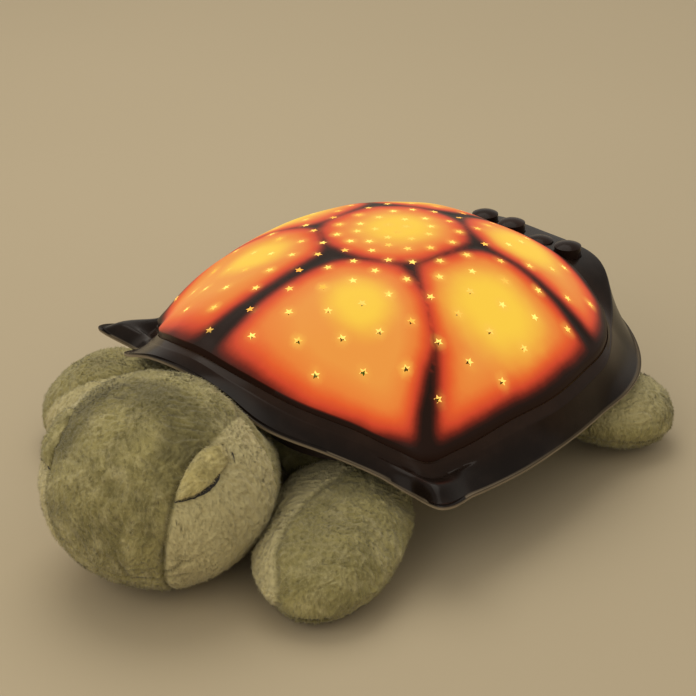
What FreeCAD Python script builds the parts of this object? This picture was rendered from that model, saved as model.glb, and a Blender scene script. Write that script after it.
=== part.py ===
"""Star night light: a plush turtle asleep on its belly under a hard, lit shell with star holes.

Millimetres. +Z is up and z = 0 is the table. The head points to -Y and the turtle's left is +X.
The origin is on the table under the middle of the shell.
"""
import FreeCAD, Part
import math
import os

V = FreeCAD.Vector
UP = V(0, 0, 1)

# Shell: dome and rim
apex_height = 94.8
dome_wall = 2.2
dome_edge_band = 3.0
dome_fullness = 2.75
rim_wall = 2.2
seam_gap = 0.25
flange_width = 8.0
ledge_width = 3.6
ledge_drop = 3.0
shelf_width = 22.0

# Outline of the joint between dome and rim, front centre to rear centre on one side: x, y, z
seam_stations = [
    (0, -95.4, 73), (23, -92.7, 69.5), (41, -84.8, 62.6), (59, -70.5, 53.8), (72, -60.6, 46.4), (83, -54, 42.6),
    (86.4, -42, 43.9), (89.7, -16, 48.2), (90.7, 8, 49.8), (86.3, 31.5, 51.4), (80.5, 50, 52), (71, 64, 52.6),
    (57, 75, 55.8), (37, 79.5, 64.5), (20, 80.5, 67.6), (0, 80.5, 68),
]
# Lower edge of the rim: collar over the neck, pointed horn at the front corner, round rear corner
lip_stations = [
    (0, -105, 68), (22, -105, 66.3), (44, -101, 58.2), (61, -84.5, 47.8), (74.5, -72, 39.2), (89, -67.2, 34.4),
    (106.7, -69.3, 37.3), (103.4, -48.4, 33.1), (102.4, -22.5, 31.5), (99.3, 6.6, 31.6), (93.3, 36.5, 32),
    (89.5, 58, 33.3), (79.7, 77, 33.4), (63, 93.3, 35), (38.4, 105.6, 38), (0, 111.6, 41),
]
horn_angle = -33.0
horn_dip = 4.0
horn_crown = 2.6
rear_corner_angle = 40.0

# Star holes
star_count = 140
star_radius = 1.9
star_waist = 0.46
star_field_radius = 0.93
star_field_start = 2.2
star_field_power = 0.7
golden_angle = 137.508

# Lower case, battery pod and door
case_floor = 35.0
case_wall = 2.2
case_inset = 5.6
neck_recess = 17.0
case_top_gap = 0.4
shelf_wall_drop = 3.2
lug_angles = (-13.0, 30.0)
lug_inset = 12.5
lug_radius = 3.6
pod_half_width = 19.5
pod_front = 12.0
pod_rear = 80.0
pod_bottom = 8.5
pod_wall = 2.0
pod_roof = 25.0
door_thickness = 2.2
door_gap = 0.25
contact_wall_y = 69.1
contact_wall_thickness = 1.2
ribbon_thickness = 0.8
door_hinge_y = 16.4
door_hinge_z = 10.4
hinge_pin_radius = 1.5
hinge_clearance = 0.08

# Batteries
cell_radius = 5.25
cell_length = 44.5
cell_pitch = 11.2
cell_centre_y = 42.0
cell_centre_z = 18.4

# Boards and lamp
board_thickness = 1.6
board_z = 42.0
lamp_board_z = 58.0
board_post_places = [(27, -58), (-27, -58), (27, -22), (-27, -22)]

# Buttons on the rear shelf: name, x, height above the shelf
buttons = [("amber", -25.0, 5.2), ("blue", -8.4, 5.2), ("power", 8.4, 2.0), ("green", 25.0, 5.2)]
button_y = 90.0
button_radius = 5.9
button_clearance = 0.3
button_flange_radius = 6.9
button_travel = 0.8
plunger_radius = 1.6
switch_board_z = 48.0

# Plush body
belly_top = 32.2
pile_clearance = 0.8
window_margin = 4.0

# Plush head
head_centre = V(17.3, -132.2, 39.5)
head_turn = 29.0
face_turn = 20.0
head_half_length = 47.5
head_half_width = 46.6
head_half_height = 40.0
eye_turn = 63.0
eye_tilt = 32.0
eyelid_half_width = 10.0
eyelid_half_height = 12.0


def hermite(xs, ys, x):
    """Smooth curve through (xs, ys), flat at both ends."""
    if x <= xs[0]:
        return ys[0]
    if x >= xs[-1]:
        return ys[-1]
    i = max(k for k in range(len(xs) - 1) if xs[k] <= x)
    last = len(xs) - 1

    def slope(k):
        if k in (0, last):
            return 0.0
        return (ys[k + 1] - ys[k - 1]) / (xs[k + 1] - xs[k - 1])

    span = xs[i + 1] - xs[i]
    t = (x - xs[i]) / span
    a = (1 + 2 * t) * (1 - t) ** 2
    b = t * (1 - t) ** 2
    c = t * t * (3 - 2 * t)
    d = t * t * (t - 1)
    return a * ys[i] + b * span * slope(i) + c * ys[i + 1] + d * span * slope(i + 1)


class Outline:
    """A closed outline, alike on both sides of the YZ plane, as radius and height by angle."""

    def __init__(self, stations):
        self.angles = [math.degrees(math.atan2(y, x)) for x, y, z in stations]
        self.radii = [math.hypot(x, y) for x, y, z in stations]
        self.heights = [z for x, y, z in stations]

    def radius(self, angle):
        return hermite(self.angles, self.radii, angle)

    def height(self, angle):
        return hermite(self.angles, self.heights, angle)


seam = Outline(seam_stations)
lip = Outline(lip_stations)


def bump(angle, centre, width):
    return math.exp(-((angle - centre) / width) ** 2)


def rise(x, low, high):
    t = min(1.0, max(0.0, (x - low) / (high - low)))
    return t * t * (3 - 2 * t)


def pinch(angle):
    """The ledge narrows at the corners of the shell."""
    return 1 - 0.7 * bump(angle, horn_angle, 9) - 0.5 * bump(angle, rear_corner_angle, 10)


def ledge_radius(angle):
    shelf = (shelf_width - ledge_width) * rise(angle, 46, 76)
    return seam.radius(angle) + ledge_width * pinch(angle) + shelf


def ledge_height(angle):
    drop = ledge_drop * pinch(angle) * (1 - 0.75 * bump(angle, -90, 25))
    return seam.height(angle) - drop


def flared(angle, share):
    """A point of the skirt, share of the way from the ledge to the lip, on a hollow curve.

    At the horn it dips next to the ledge and rises to a crown before the tip.
    """
    horn = bump(angle, horn_angle, 9)
    hollow = 0.1 * (1 - horn) * math.sin(math.pi * share)
    radius = ledge_radius(angle) + (lip.radius(angle) - ledge_radius(angle)) * (share - hollow)
    height = ledge_height(angle) + (lip.height(angle) - ledge_height(angle)) * share
    wave = horn_crown * bump(share, 0.6, 0.25) - horn_dip * bump(share, 0.13, 0.12)
    return radius, height + horn * wave


def recess(angle):
    """The case and the flange step back at the front, over the neck."""
    return neck_recess * bump(angle, -90, 24)


def case_radius(angle):
    shelf = (shelf_width + 2.0) * rise(angle, 46, 76)
    return seam.radius(angle) - case_inset + shelf - recess(angle)


def flange_radius(angle):
    lugs = sum(bump(angle, place, 6) for place in lug_angles)
    return seam.radius(angle) - flange_width - 9.5 * lugs - recess(angle)


def case_wall_top(angle):
    """Just under the rim's flange and ledge, and lower beneath the shelf, clear of the buttons."""
    inner = flange_radius(angle)
    share = (case_radius(angle) - inner) / (ledge_radius(angle) - rim_wall - inner)
    flange = seam.height(angle) + (ledge_height(angle) - seam.height(angle)) * share - rim_wall
    return flange - case_top_gap - shelf_wall_drop * rise(angle, 46, 76)


def lug_places():
    """Centres of the four screw lugs: x, y, angle."""
    places = []
    for angle in lug_angles:
        r = seam.radius(angle) - lug_inset
        x, y = r * math.cos(math.radians(angle)), r * math.sin(math.radians(angle))
        places += [(x, y, angle), (-x, y, angle)]
    return places


def half_angles():
    """Angles from front centre to rear centre: even steps, closer round the horn."""
    even = [-90 + 7.5 * k for k in range(25)]
    close = [horn_angle + step for step in (-9, -6, -3.2, -1.4, 0, 1.6, 3.6, 6.5)]
    kept = [a for a in even if abs(a - horn_angle) > 9.5]
    return sorted(kept + close)


HALF = half_angles()
RING = HALF + [180 - a for a in reversed(HALF[1:-1])]


def mirrored(angle):
    return angle if angle <= 90 else 180 - angle


def ring_edge(radius_of, height_of):
    points = []
    for angle in RING:
        r = radius_of(mirrored(angle))
        t = math.radians(angle)
        points.append(V(r * math.cos(t), r * math.sin(t), height_of(mirrored(angle))))
    curve = Part.BSplineCurve()
    knots = [float(a + 90) for a in RING] + [360.0]
    curve.interpolate(Points=points, PeriodicFlag=True, Parameters=knots)
    return curve.toShape()


def ring_solid(rows):
    """A closed ring whose section is the loop of rows, each a pair of radius and height functions."""
    edges = [ring_edge(radius_of, height_of) for radius_of, height_of in rows]
    faces = [Part.makeRuledSurface(edges[i - 1], edges[i]) for i in range(len(edges))]
    return closed_solid(faces)


def closed_solid(faces):
    skin = Part.Compound(faces)
    skin.sewShape()
    solid = Part.makeSolid(skin.Shells[0])
    if solid.Volume < 0:
        solid.reverse()
    return solid


def disc(radius_of, height):
    return Part.Face(Part.Wire([ring_edge(radius_of, lambda a: height)]))


def plug(radius_of, low, high):
    return disc(radius_of, low).extrude(V(0, 0, high - low))


def dome_height(x, y, top, edge_lift):
    r = math.hypot(x, y)
    angle = math.degrees(math.atan2(y, abs(x)))
    edge = seam.height(angle) + edge_lift
    return top - (top - edge) * (r / seam.radius(angle)) ** dome_fullness


def dome_surface(top, edge_lift):
    step = 9.0
    places = [step * k for k in range(-14, 15)]
    grid = [[V(x, y, dome_height(x, y, top, edge_lift)) for y in places] for x in places]
    surface = Part.BSplineSurface()
    surface.interpolate(grid)
    return surface.toShape()


def below(surface):
    return surface.extrude(V(0, 0, -160))


def star_prisms():
    """Five-pointed prisms square to the dome, closer together towards the top."""
    prisms = []
    top, lift = apex_height, dome_edge_band
    for k in range(star_count):
        turn = math.radians(k * golden_angle + 11)
        share = star_field_radius * ((k + star_field_start) / (star_count + star_field_start)) ** star_field_power
        angle = math.degrees(math.atan2(math.sin(turn), abs(math.cos(turn))))
        r = share * seam.radius(angle)
        x, y = r * math.cos(turn), r * math.sin(turn)
        z = dome_height(x, y, top, lift)
        slope_x = (dome_height(x + 0.5, y, top, lift) - dome_height(x - 0.5, y, top, lift))
        slope_y = (dome_height(x, y + 0.5, top, lift) - dome_height(x, y - 0.5, top, lift))
        normal = V(-slope_x, -slope_y, 1).normalize()
        across = V(1, 0, 0).cross(normal).normalize()
        along = normal.cross(across)
        start = V(x, y, z) + normal * 4
        points = []
        for i in range(10):
            reach = star_radius if i % 2 == 0 else star_radius * star_waist
            t = math.radians(36 * i + 25 * k)
            points.append(start + across * (reach * math.cos(t)) + along * (reach * math.sin(t)))
        prisms.append(Part.Face(Part.makePolygon(points + points[:1])).extrude(normal * -9))
    return prisms


def make_dome_shell():
    outer = below(dome_surface(apex_height, dome_edge_band))
    inner = below(dome_surface(apex_height - dome_wall, seam_gap))
    shell = plug(seam.radius, 30, 130).common(outer).cut(inner)
    return shell.cut(Part.Compound(star_prisms()))


def shelf_height(x, y):
    angle = math.degrees(math.atan2(y, abs(x)))
    share = (math.hypot(x, y) - seam.radius(angle)) / (ledge_radius(angle) - seam.radius(angle))
    return seam.height(angle) + (ledge_height(angle) - seam.height(angle)) * share


def button_seats():
    return [(name, x, shelf_height(x, button_y), proud) for name, x, proud in buttons]


def make_rim():
    def at(share, inward, down):
        return lambda a: flared(a, share)[0] - inward, lambda a: flared(a, share)[1] - down

    w = rim_wall * 0.75
    rows = [
        (seam.radius, seam.height),
        (ledge_radius, ledge_height),
        at(0.13, 0, 0), at(0.34, 0, 0), at(0.68, 0, 0), at(1, 0, 0), at(1, rim_wall, 0), at(0.68, w, w), at(0.34, w, w),
        at(0.13, w, w),
        (lambda a: ledge_radius(a) - rim_wall, lambda a: ledge_height(a) - rim_wall),
        (flange_radius, lambda a: seam.height(a) - rim_wall),
        (flange_radius, seam.height),
    ]
    rim = ring_solid(rows)
    foot = case_floor + case_wall + 0.1
    for x, y, angle in lug_places():
        lug = Part.makeCylinder(lug_radius, seam.height(angle) - rim_wall / 2 - foot, V(x, y, foot))
        rim = rim.fuse(lug).cut(Part.makeCylinder(1.1, 7, V(x, y, foot - 0.5)))
    for name, x, z, proud in button_seats():
        hole = Part.makeCylinder(button_radius + button_clearance, 14, V(x, button_y, z - 7))
        rim = rim.cut(hole)
    return rim


def box(x0, x1, y0, y1, z0, z1):
    return Part.makeBox(x1 - x0, y1 - y0, z1 - z0, V(x0, y0, z0))


def rounded_box(x0, x1, y0, y1, z0, z1, radius):
    block = box(x0, x1, y0, y1, z0, z1)
    upright = [e for e in block.Edges if abs(e.tangentAt(e.FirstParameter).z) > 0.9]
    return block.makeFillet(radius, upright)


def make_lower_case():
    walls = ring_solid([
        (case_radius, lambda a: case_floor),
        (case_radius, case_wall_top),
        (lambda a: case_radius(a) - case_wall, case_wall_top),
        (lambda a: case_radius(a) - case_wall, lambda a: case_floor),
    ])
    case = walls.fuse(plug(lambda a: case_radius(a) - case_wall / 2, case_floor, case_floor + case_wall))
    pod = rounded_box(-pod_half_width, pod_half_width, pod_front, pod_rear, pod_bottom, case_floor + case_wall, 3)
    w = pod_half_width - pod_wall
    well = box(-w, w, pod_front + pod_wall, pod_rear - pod_wall, pod_bottom - 1, pod_roof)
    attic = box(-w, w, pod_front + pod_wall, pod_rear - pod_wall, pod_roof + pod_wall, case_floor + case_wall + 1)
    screw_block = box(-5, 5, contact_wall_y + contact_wall_thickness + 0.1, pod_rear - pod_wall + 0.5,
                      pod_bottom + door_thickness + 0.3, pod_roof + 0.5)
    case = case.fuse(pod).cut(well).cut(attic).fuse(screw_block)
    pins = Part.makeCylinder(hinge_pin_radius + hinge_clearance, 2 * pod_half_width - 1,
                             V(-pod_half_width + 0.5, door_hinge_y, door_hinge_z), V(1, 0, 0))
    case = case.cut(pins)
    for x, y, angle in lug_places():
        case = case.cut(Part.makeCylinder(1.5, 6, V(x, y, case_floor - 1)))
        case = case.cut(Part.makeCylinder(3.2, 1.9, V(x, y, case_floor - 1)))
    for x, y in board_post_places:
        case = case.fuse(Part.makeCylinder(3, board_z - case_floor - 1, V(x, y, case_floor + 1)))
        case = case.cut(Part.makeCylinder(1.1, 8, V(x, y, case_floor + 1.5)))
    screw = Part.makeCylinder(1.3, 9, V(0, door_screw_y, pod_bottom + door_thickness))
    return case.cut(screw)


door_screw_y = pod_rear - pod_wall - 4.5


def make_battery_door():
    w = pod_half_width - pod_wall - door_gap
    plate = box(-w, w, door_hinge_y - 1.0, pod_rear - pod_wall - door_gap, pod_bottom + 0.2,
                pod_bottom + 0.2 + door_thickness)
    barrel = Part.makeCylinder(1.9, 2 * w, V(-w, door_hinge_y, door_hinge_z), V(1, 0, 0))
    pin = Part.makeCylinder(hinge_pin_radius, 2 * pod_half_width - 1.4,
                            V(-pod_half_width + 0.7, door_hinge_y, door_hinge_z), V(1, 0, 0))
    ribs = [box(-w + 1, w - 1, y - 0.5, y + 0.5, pod_bottom + 0.2, pod_bottom + 0.8 + door_thickness)
            for y in (28, 36, 48, 56)]
    door = plate.fuse([barrel, pin] + ribs)
    grip = [box(-9, 9, y - 0.6, y + 0.6, pod_bottom, pod_bottom + 0.9) for y in (58, 61, 64, 67)]
    counterbore = Part.makeCylinder(3.2, 2, V(0, door_screw_y, pod_bottom + 0.7 - 2))
    door = door.cut(Part.Compound(grip)).cut(counterbore)
    return door.cut(Part.makeCylinder(1.7, 6, V(0, door_screw_y, pod_bottom - 1)))


def screw_at(x, y, z, head_radius, head_height, shank_radius, length, up=1):
    """A pan-head screw whose head sits at z, with a cross recess, pointing up or down."""
    axis = V(0, 0, up)
    head = Part.makeCylinder(head_radius, head_height, V(x, y, z), axis)
    shank = Part.makeCylinder(shank_radius, length, V(x, y, z) + axis * head_height, axis)
    depth = head_height * 0.5
    low = z if up > 0 else z - depth
    slots = [box(x - head_radius * 0.6, x + head_radius * 0.6, y - 0.3, y + 0.3, low, low + depth),
             box(x - 0.3, x + 0.3, y - head_radius * 0.6, y + head_radius * 0.6, low, low + depth)]
    return head.fuse(shank).cut(Part.Compound(slots))


def make_door_screw():
    return screw_at(0, door_screw_y, pod_bottom - 0.3, 2.9, 1.0, 1.2, 8.5)


def make_case_screws():
    return [screw_at(x, y, case_floor - 0.5, 2.9, 1.4, 1.1, 7) for x, y, angle in lug_places()]


def make_board_screws():
    return [screw_at(x, y, board_z + board_thickness + 1.4, 2.2, 1.4, 0.95, 6, up=-1) for x, y in board_post_places]


def make_main_board():
    board = rounded_box(-34, 34, -66, -14, board_z, board_z + board_thickness, 3)
    holes = [Part.makeCylinder(1.2, 4, V(x, y, board_z - 1)) for x, y in board_post_places]
    return board.cut(Part.Compound(holes))


def make_timer_chip():
    return box(-6, 6, -50, -41, board_z + board_thickness, board_z + board_thickness + 1.8)


def make_capacitors():
    return [Part.makeCylinder(2.5, 7, V(x, -58, board_z + board_thickness)) for x in (-16, -9)]


def make_lamp_post():
    foot = case_floor + case_wall
    stem = Part.makeCone(8, 5.5, lamp_board_z - 2 - foot, V(0, 0, foot))
    head = Part.makeCylinder(11, 2, V(0, 0, lamp_board_z - 2))
    return stem.fuse(head).cut(Part.makeCylinder(3.5, 30, V(0, 0, foot - 1)))


def make_lamp_board():
    return Part.makeCylinder(11, board_thickness, V(0, 0, lamp_board_z))


def make_led(index):
    t = math.radians(90 + 120 * index)
    x, y = 5.0 * math.cos(t), 5.0 * math.sin(t)
    z = lamp_board_z + board_thickness
    profile = [V(0, 0, 0), V(2.9, 0, 0), V(2.9, 0, 1), V(2.5, 0, 1), V(2.5, 0, 6), V(2, 0, 7.6), V(0, 0, 8.4)]
    section = Part.Face(Part.makePolygon(profile + profile[:1]))
    section.translate(V(x, y, z))
    return section.revolve(V(x, y, z), UP, 360)


def make_button(x, z, proud):
    crown = 1.6
    body = Part.makeCylinder(button_radius, proud - crown + 4.4, V(x, button_y, z - 4.4))
    sphere_radius = (button_radius ** 2 + crown ** 2) / (2 * crown)
    top = z + proud
    cap = Part.makeSphere(sphere_radius, V(x, button_y, top - sphere_radius))
    cap = cap.common(Part.makeCylinder(button_radius, crown, V(x, button_y, top - crown)))
    flange = Part.makeCylinder(button_flange_radius, 1.2, V(x, button_y, z - 5.6))
    tip = switch_board_z + board_thickness + 3.5 + 1.4 + button_travel + 0.15
    plunger = Part.makeCylinder(plunger_radius, z - 5.0 - tip, V(x, button_y, tip))
    return body.fuse([cap, flange, plunger]).removeSplitter()


def make_switch_board():
    return rounded_box(-33, 33, button_y - 8, button_y + 4, switch_board_z, switch_board_z + board_thickness, 2)


def make_switches():
    switches = []
    for name, x, proud in buttons:
        z = switch_board_z + board_thickness
        body = box(x - 3, x + 3, button_y - 3, button_y + 3, z, z + 3.5)
        stem = Part.makeCylinder(1.7, 1.4, V(x, button_y, z + 3.5))
        switches.append(body.fuse(stem))
    return switches


def make_switch_board_posts():
    posts = []
    for x in (-29, 29):
        posts.append(Part.makeCylinder(2.4, switch_board_z - case_floor - case_wall,
                                       V(x, button_y - 3.5, case_floor + case_wall)))
    return posts


def make_cells():
    cells = []
    for k in (-1, 0, 1):
        x = k * cell_pitch
        way = 1 if k % 2 == 0 else -1
        start = V(x, cell_centre_y - way * cell_length / 2, cell_centre_z)
        can = Part.makeCylinder(cell_radius, cell_length - 1, start, V(0, way, 0))
        tip = Part.makeCylinder(1.9, 1, start + V(0, way * (cell_length - 1), 0), V(0, way, 0))
        cells.append(can.fuse(tip))
    return cells


def make_cell_contacts():
    """Flat plates that the cell tips and springs bear on, one at each end of each cell."""
    plates = []
    for k in (-1, 0, 1):
        for y in (pod_front + pod_wall, 68.6):
            plates.append(box(k * cell_pitch - 4.6, k * cell_pitch + 4.6, y, y + 0.5, 13, pod_roof - 1))
    return plates


def make_contact_wall():
    return box(-17.4, 17.4, contact_wall_y, contact_wall_y + contact_wall_thickness,
               pod_bottom + door_thickness + 0.5, pod_roof)


def make_cell_springs():
    """A conical spring at the flat end of each cell, as its outer form."""
    springs = []
    for k in (-1, 0, 1):
        x = k * cell_pitch
        if k % 2 == 0:
            start, way = V(x, pod_front + pod_wall + 0.5, cell_centre_z), 1
            length = cell_centre_y - cell_length / 2 - start.y
        else:
            start, way = V(x, 68.6, cell_centre_z), -1
            length = start.y - (cell_centre_y + cell_length / 2)
        cone = Part.makeCone(4.2, 2.4, length, start, V(0, way, 0))
        springs.append(cone.cut(Part.makeCylinder(1.6, length, start, V(0, way, 0))))
    return springs


def ribbon(route, bend, width, x):
    """A flat cable in a plane x, bent along a route of (y, z) points."""
    points = [V(x, y, z) for y, z in route]
    edges = []
    here = points[0]
    for i in range(1, len(points) - 1):
        back = (points[i - 1] - points[i]).normalize()
        ahead = (points[i + 1] - points[i]).normalize()
        half = math.acos(back.dot(ahead)) / 2
        first, last = points[i] + back * (bend / math.tan(half)), points[i] + ahead * (bend / math.tan(half))
        middle = points[i] + (back + ahead).normalize() * (bend / math.sin(half) - bend)
        edges.append(Part.LineSegment(here, first).toShape())
        edges.append(Part.Arc(first, middle, last).toShape())
        here = last
    edges.append(Part.LineSegment(here, points[-1]).toShape())
    strip = Part.Wire(edges).makeOffset2D(ribbon_thickness, 0, True, True)
    return strip.extrude(V(width, 0, 0))


def make_battery_ribbon():
    top = board_z + board_thickness
    return ribbon([(22, pod_roof + pod_wall), (22, 48), (-8, 52), (-18, top)], 3, 6, 8)


def make_lamp_ribbon():
    top = lamp_board_z + board_thickness
    return ribbon([(-8, top), (-14.5, top), (-15.5, 50), (-20, board_z + board_thickness)], 2, 6, -3)


def make_button_ribbon():
    top = board_z + board_thickness
    route = [(button_y - 6, switch_board_z + board_thickness), (button_y - 10, 56), (30, 55), (-10, 52), (-20, top)]
    return ribbon(route, 3, 9, 16)


hook_pad_places = [(36, -26), (-36, -26), (40, 30), (-40, 30)]


def make_pads(low, high):
    return [Part.makeCylinder(10, high - low, V(x, y, low)) for x, y in hook_pad_places]


def oval(centre, across, rise_dir, half_width, half_height):
    """A closed oval of four arcs."""
    def at(degrees):
        t = math.radians(degrees)
        return centre + across * (half_width * math.cos(t)) + rise_dir * (half_height * math.sin(t))

    arcs = [Part.Arc(at(q), at(q + 45), at(q + 90)).toShape() for q in (0, 90, 180, 270)]
    return Part.Wire(arcs)


def stuffed(stations, heading):
    """A stuffed form along a level heading: stations are x, y, z, half width, half height."""
    ahead = V(math.sin(math.radians(heading)), -math.cos(math.radians(heading)), 0)
    across = UP.cross(ahead)
    return Part.makeLoft([oval(V(x, y, z), across, UP, w, h) for x, y, z, w, h in stations], True, False)


def along(start, heading, rows):
    """Stations at distances from a start point: rows are distance, height, half width, half height."""
    dx, dy = math.sin(math.radians(heading)), -math.cos(math.radians(heading))
    return [(start.x + dx * s, start.y + dy * s, z, w, h) for s, z, w, h in rows]


def on_table(form):
    return form.common(box(-250, 250, -250, 250, 0, 150))


def shell_clearance():
    """The space that the hard shell takes, a little enlarged."""
    low = ring_edge(lambda a: lip.radius(a) + pile_clearance, lambda a: lip.height(a) - pile_clearance)
    high = ring_edge(lambda a: lip.radius(a) + pile_clearance, lambda a: 120.0)
    inner = ring_edge(lambda a: case_radius(a) + 0.4, lambda a: case_floor - 0.4)
    faces = [Part.makeRuledSurface(low, high), Part.makeRuledSurface(inner, low),
             Part.Face(Part.Wire([high])), Part.Face(Part.Wire([inner]))]
    return closed_solid(faces)


def belly_outline(z, half_width, front, rear, corner):
    """A level outline of straight sides and quarter arcs."""
    x, c = half_width, corner
    k = c * (1 - math.sqrt(0.5))

    def line(a, b):
        return Part.LineSegment(V(a[0], a[1], z), V(b[0], b[1], z)).toShape()

    def arc(a, m, b):
        return Part.Arc(V(a[0], a[1], z), V(m[0], m[1], z), V(b[0], b[1], z)).toShape()

    edges = [
        line((x, front + c), (x, rear - c)), arc((x, rear - c), (x - k, rear - k), (x - c, rear)),
        line((x - c, rear), (c - x, rear)), arc((c - x, rear), (k - x, rear - k), (-x, rear - c)),
        line((-x, rear - c), (-x, front + c)), arc((-x, front + c), (k - x, front + k), (c - x, front)),
        line((c - x, front), (x - c, front)), arc((x - c, front), (x - k, front + k), (x, front + c)),
    ]
    return Part.Wire(edges)


def make_plush_body():
    sections = [(-0.5, 40, -60, 94, 32), (8, 49, -70, 99, 38), (20, 55, -76, 101, 42), (belly_top, 57, -72, 96, 44)]
    body = Part.makeLoft([belly_outline(*row) for row in sections], True, False)
    m = window_margin
    window = rounded_box(-pod_half_width - m, pod_half_width + m, pod_front - m, pod_rear + m, -5, 60, 5)
    return on_table(body).cut(window)


def make_plush_head(clearance):
    rows = []
    for share in (-0.97, -0.85, -0.62, -0.32, 0, 0.32, 0.62, 0.85, 0.97):
        size = math.sqrt(1 - share * share)
        rows.append((share * head_half_length, head_centre.z, head_half_width * size, head_half_height * size))
    head = stuffed(along(head_centre, head_turn, rows), head_turn)
    return on_table(head).cut(clearance)


def make_neck(clearance):
    rows = [(0, 17, 20, 14), (18, 18, 25, 16), (36, 20, 27, 18), (52, 23, 24, 18)]
    return on_table(stuffed(along(V(0, -62, 0), 12, rows), 12)).cut(clearance)


front_flipper_rows = [(0, 20, 21, 12), (18, 19, 28, 14.5), (38, 17.5, 31, 16), (58, 16, 30, 15.5),
                      (76, 14.5, 24, 13.5), (86, 12.5, 14, 9), (90, 11.5, 6, 4)]
raised_flipper_rows = [(0, 20, 21, 12), (18, 19, 28, 15), (38, 19, 31, 18), (58, 19.5, 31, 19.5),
                       (76, 17, 25, 16.5), (86, 14, 15, 11), (90, 12, 6.5, 5)]
rear_flipper_rows = [(0, 18, 17, 12), (15, 18, 23, 13.5), (32, 16.5, 26, 14.5), (46, 15.5, 23, 13.5),
                     (55, 14, 15, 10), (60, 12.5, 6, 4.5)]
# Start x and y and heading, from -Y towards +X, of each flipper
flippers = {
    "flipper_front_left": (42, -52, 34, front_flipper_rows),
    "flipper_front_right": (-36, -43, -45, raised_flipper_rows),
    "flipper_rear_left": (43, 52, 120, rear_flipper_rows),
    "flipper_rear_right": (-43, 52, -120, rear_flipper_rows),
}


def make_flipper(name, clearance):
    x, y, heading, rows = flippers[name]
    return on_table(stuffed(along(V(x, y, 0), heading, rows), heading)).cut(clearance)


def make_tail():
    rows = [(0, 17, 12, 11), (12, 15, 11, 10), (24, 12, 7, 7), (31, 9, 3, 3)]
    return on_table(stuffed(along(V(0, 92, 0), 180, rows), 180))


def make_eyelid(side):
    """An oval pad on the head, on its own slanting axis."""
    turn = math.radians(face_turn + side * eye_turn)
    tilt = math.radians(eye_tilt)
    out = V(math.sin(turn) * math.cos(tilt), -math.cos(turn) * math.cos(tilt), math.sin(tilt))
    across = UP.cross(out).normalize()
    lean = out.cross(across)
    reach = [out.x / head_half_width, out.y / head_half_length, out.z / head_half_height]
    surface = head_centre + out * (1 / math.sqrt(sum(r * r for r in reach)))
    rows = [(-8, 0.9), (-3, 1.0), (1, 0.93), (3.4, 0.6)]
    wires = [oval(surface + out * d, across, lean, eyelid_half_width * k, eyelid_half_height * k) for d, k in rows]
    return Part.makeLoft(wires, True, False)


def export(name, shape):
    shapes = shape if isinstance(shape, list) else [shape]
    for piece in shapes:
        if not piece.isValid():
            print("not valid:", name)
    out = shapes[0] if len(shapes) == 1 else Part.Compound(shapes)
    out.exportStep("parts/" + name + ".step")
    print(name, len(out.Solids), "solid(s), volume", round(out.Volume), "mm3")


def export_plush():
    clearance = shell_clearance()
    body = make_plush_body()
    head = make_plush_head(clearance)
    neck = make_neck(clearance).cut(body).cut(head)
    export("plush_body", body)
    export("plush_head", head)
    export("plush_neck", neck)
    for name in flippers:
        export(name, make_flipper(name, clearance).cut(body).cut(head).cut(neck))
    for side, label in ((1, "left"), (-1, "right")):
        export("eyelid_" + label, make_eyelid(side).cut(head))
    export("tail", make_tail().cut(body))


def main():
    export("dome_shell", make_dome_shell())
    export("rim_skirt", make_rim())
    export("lower_case", make_lower_case())
    export("case_screws", make_case_screws())
    export("main_board", make_main_board())
    export("board_screws", make_board_screws())
    export("timer_chip", make_timer_chip())
    export("capacitors", make_capacitors())
    export("lamp_post", make_lamp_post())
    export("lamp_board", make_lamp_board())
    for index, colour in enumerate(("amber", "blue", "green")):
        export("led_" + colour, make_led(index))
    export("switch_board", make_switch_board())
    export("switch_board_posts", make_switch_board_posts())
    export("tact_switches", make_switches())
    for name, x, z, proud in button_seats():
        export("button_" + name, make_button(x, z, proud))
    export("battery_door", make_battery_door())
    export("door_screw", make_door_screw())
    export("battery_cells", make_cells())
    export("cell_contacts", make_cell_contacts())
    export("cell_springs", make_cell_springs())
    export("contact_wall", make_contact_wall())
    export("battery_ribbon", make_battery_ribbon())
    export("lamp_ribbon", make_lamp_ribbon())
    export("button_ribbon", make_button_ribbon())
    export("hook_pads", make_pads(case_floor - 1.3, case_floor))
    export("loop_pads", make_pads(belly_top, case_floor - 1.3))
    export_plush()


main()
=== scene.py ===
"""Star night light: the visible pieces of a plush turtle asleep under a lit, star-pierced shell.

Pieces are built in millimetres and written in metres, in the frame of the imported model:
+Z up, z = 0 the table, the head to -Y, the turtle's left to +X.
"""

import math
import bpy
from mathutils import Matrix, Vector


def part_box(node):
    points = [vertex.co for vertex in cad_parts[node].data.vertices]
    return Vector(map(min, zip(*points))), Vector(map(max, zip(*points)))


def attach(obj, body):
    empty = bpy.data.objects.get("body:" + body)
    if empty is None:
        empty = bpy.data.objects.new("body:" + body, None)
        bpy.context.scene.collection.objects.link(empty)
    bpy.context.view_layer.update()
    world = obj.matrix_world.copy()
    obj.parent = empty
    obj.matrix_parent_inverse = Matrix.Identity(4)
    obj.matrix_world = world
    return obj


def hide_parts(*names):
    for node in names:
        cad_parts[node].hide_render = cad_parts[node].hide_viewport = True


bl_info = {
    "name": "Star night light",
    "version": (1, 0, 0),
    "blender": (4, 5, 0),
    "location": "3D View > Sidebar > Night light",
    "description": "Lit dome with star holes, moulded rim and stuffed turtle, built on the packed model",
    "category": "Object",
}

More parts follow.
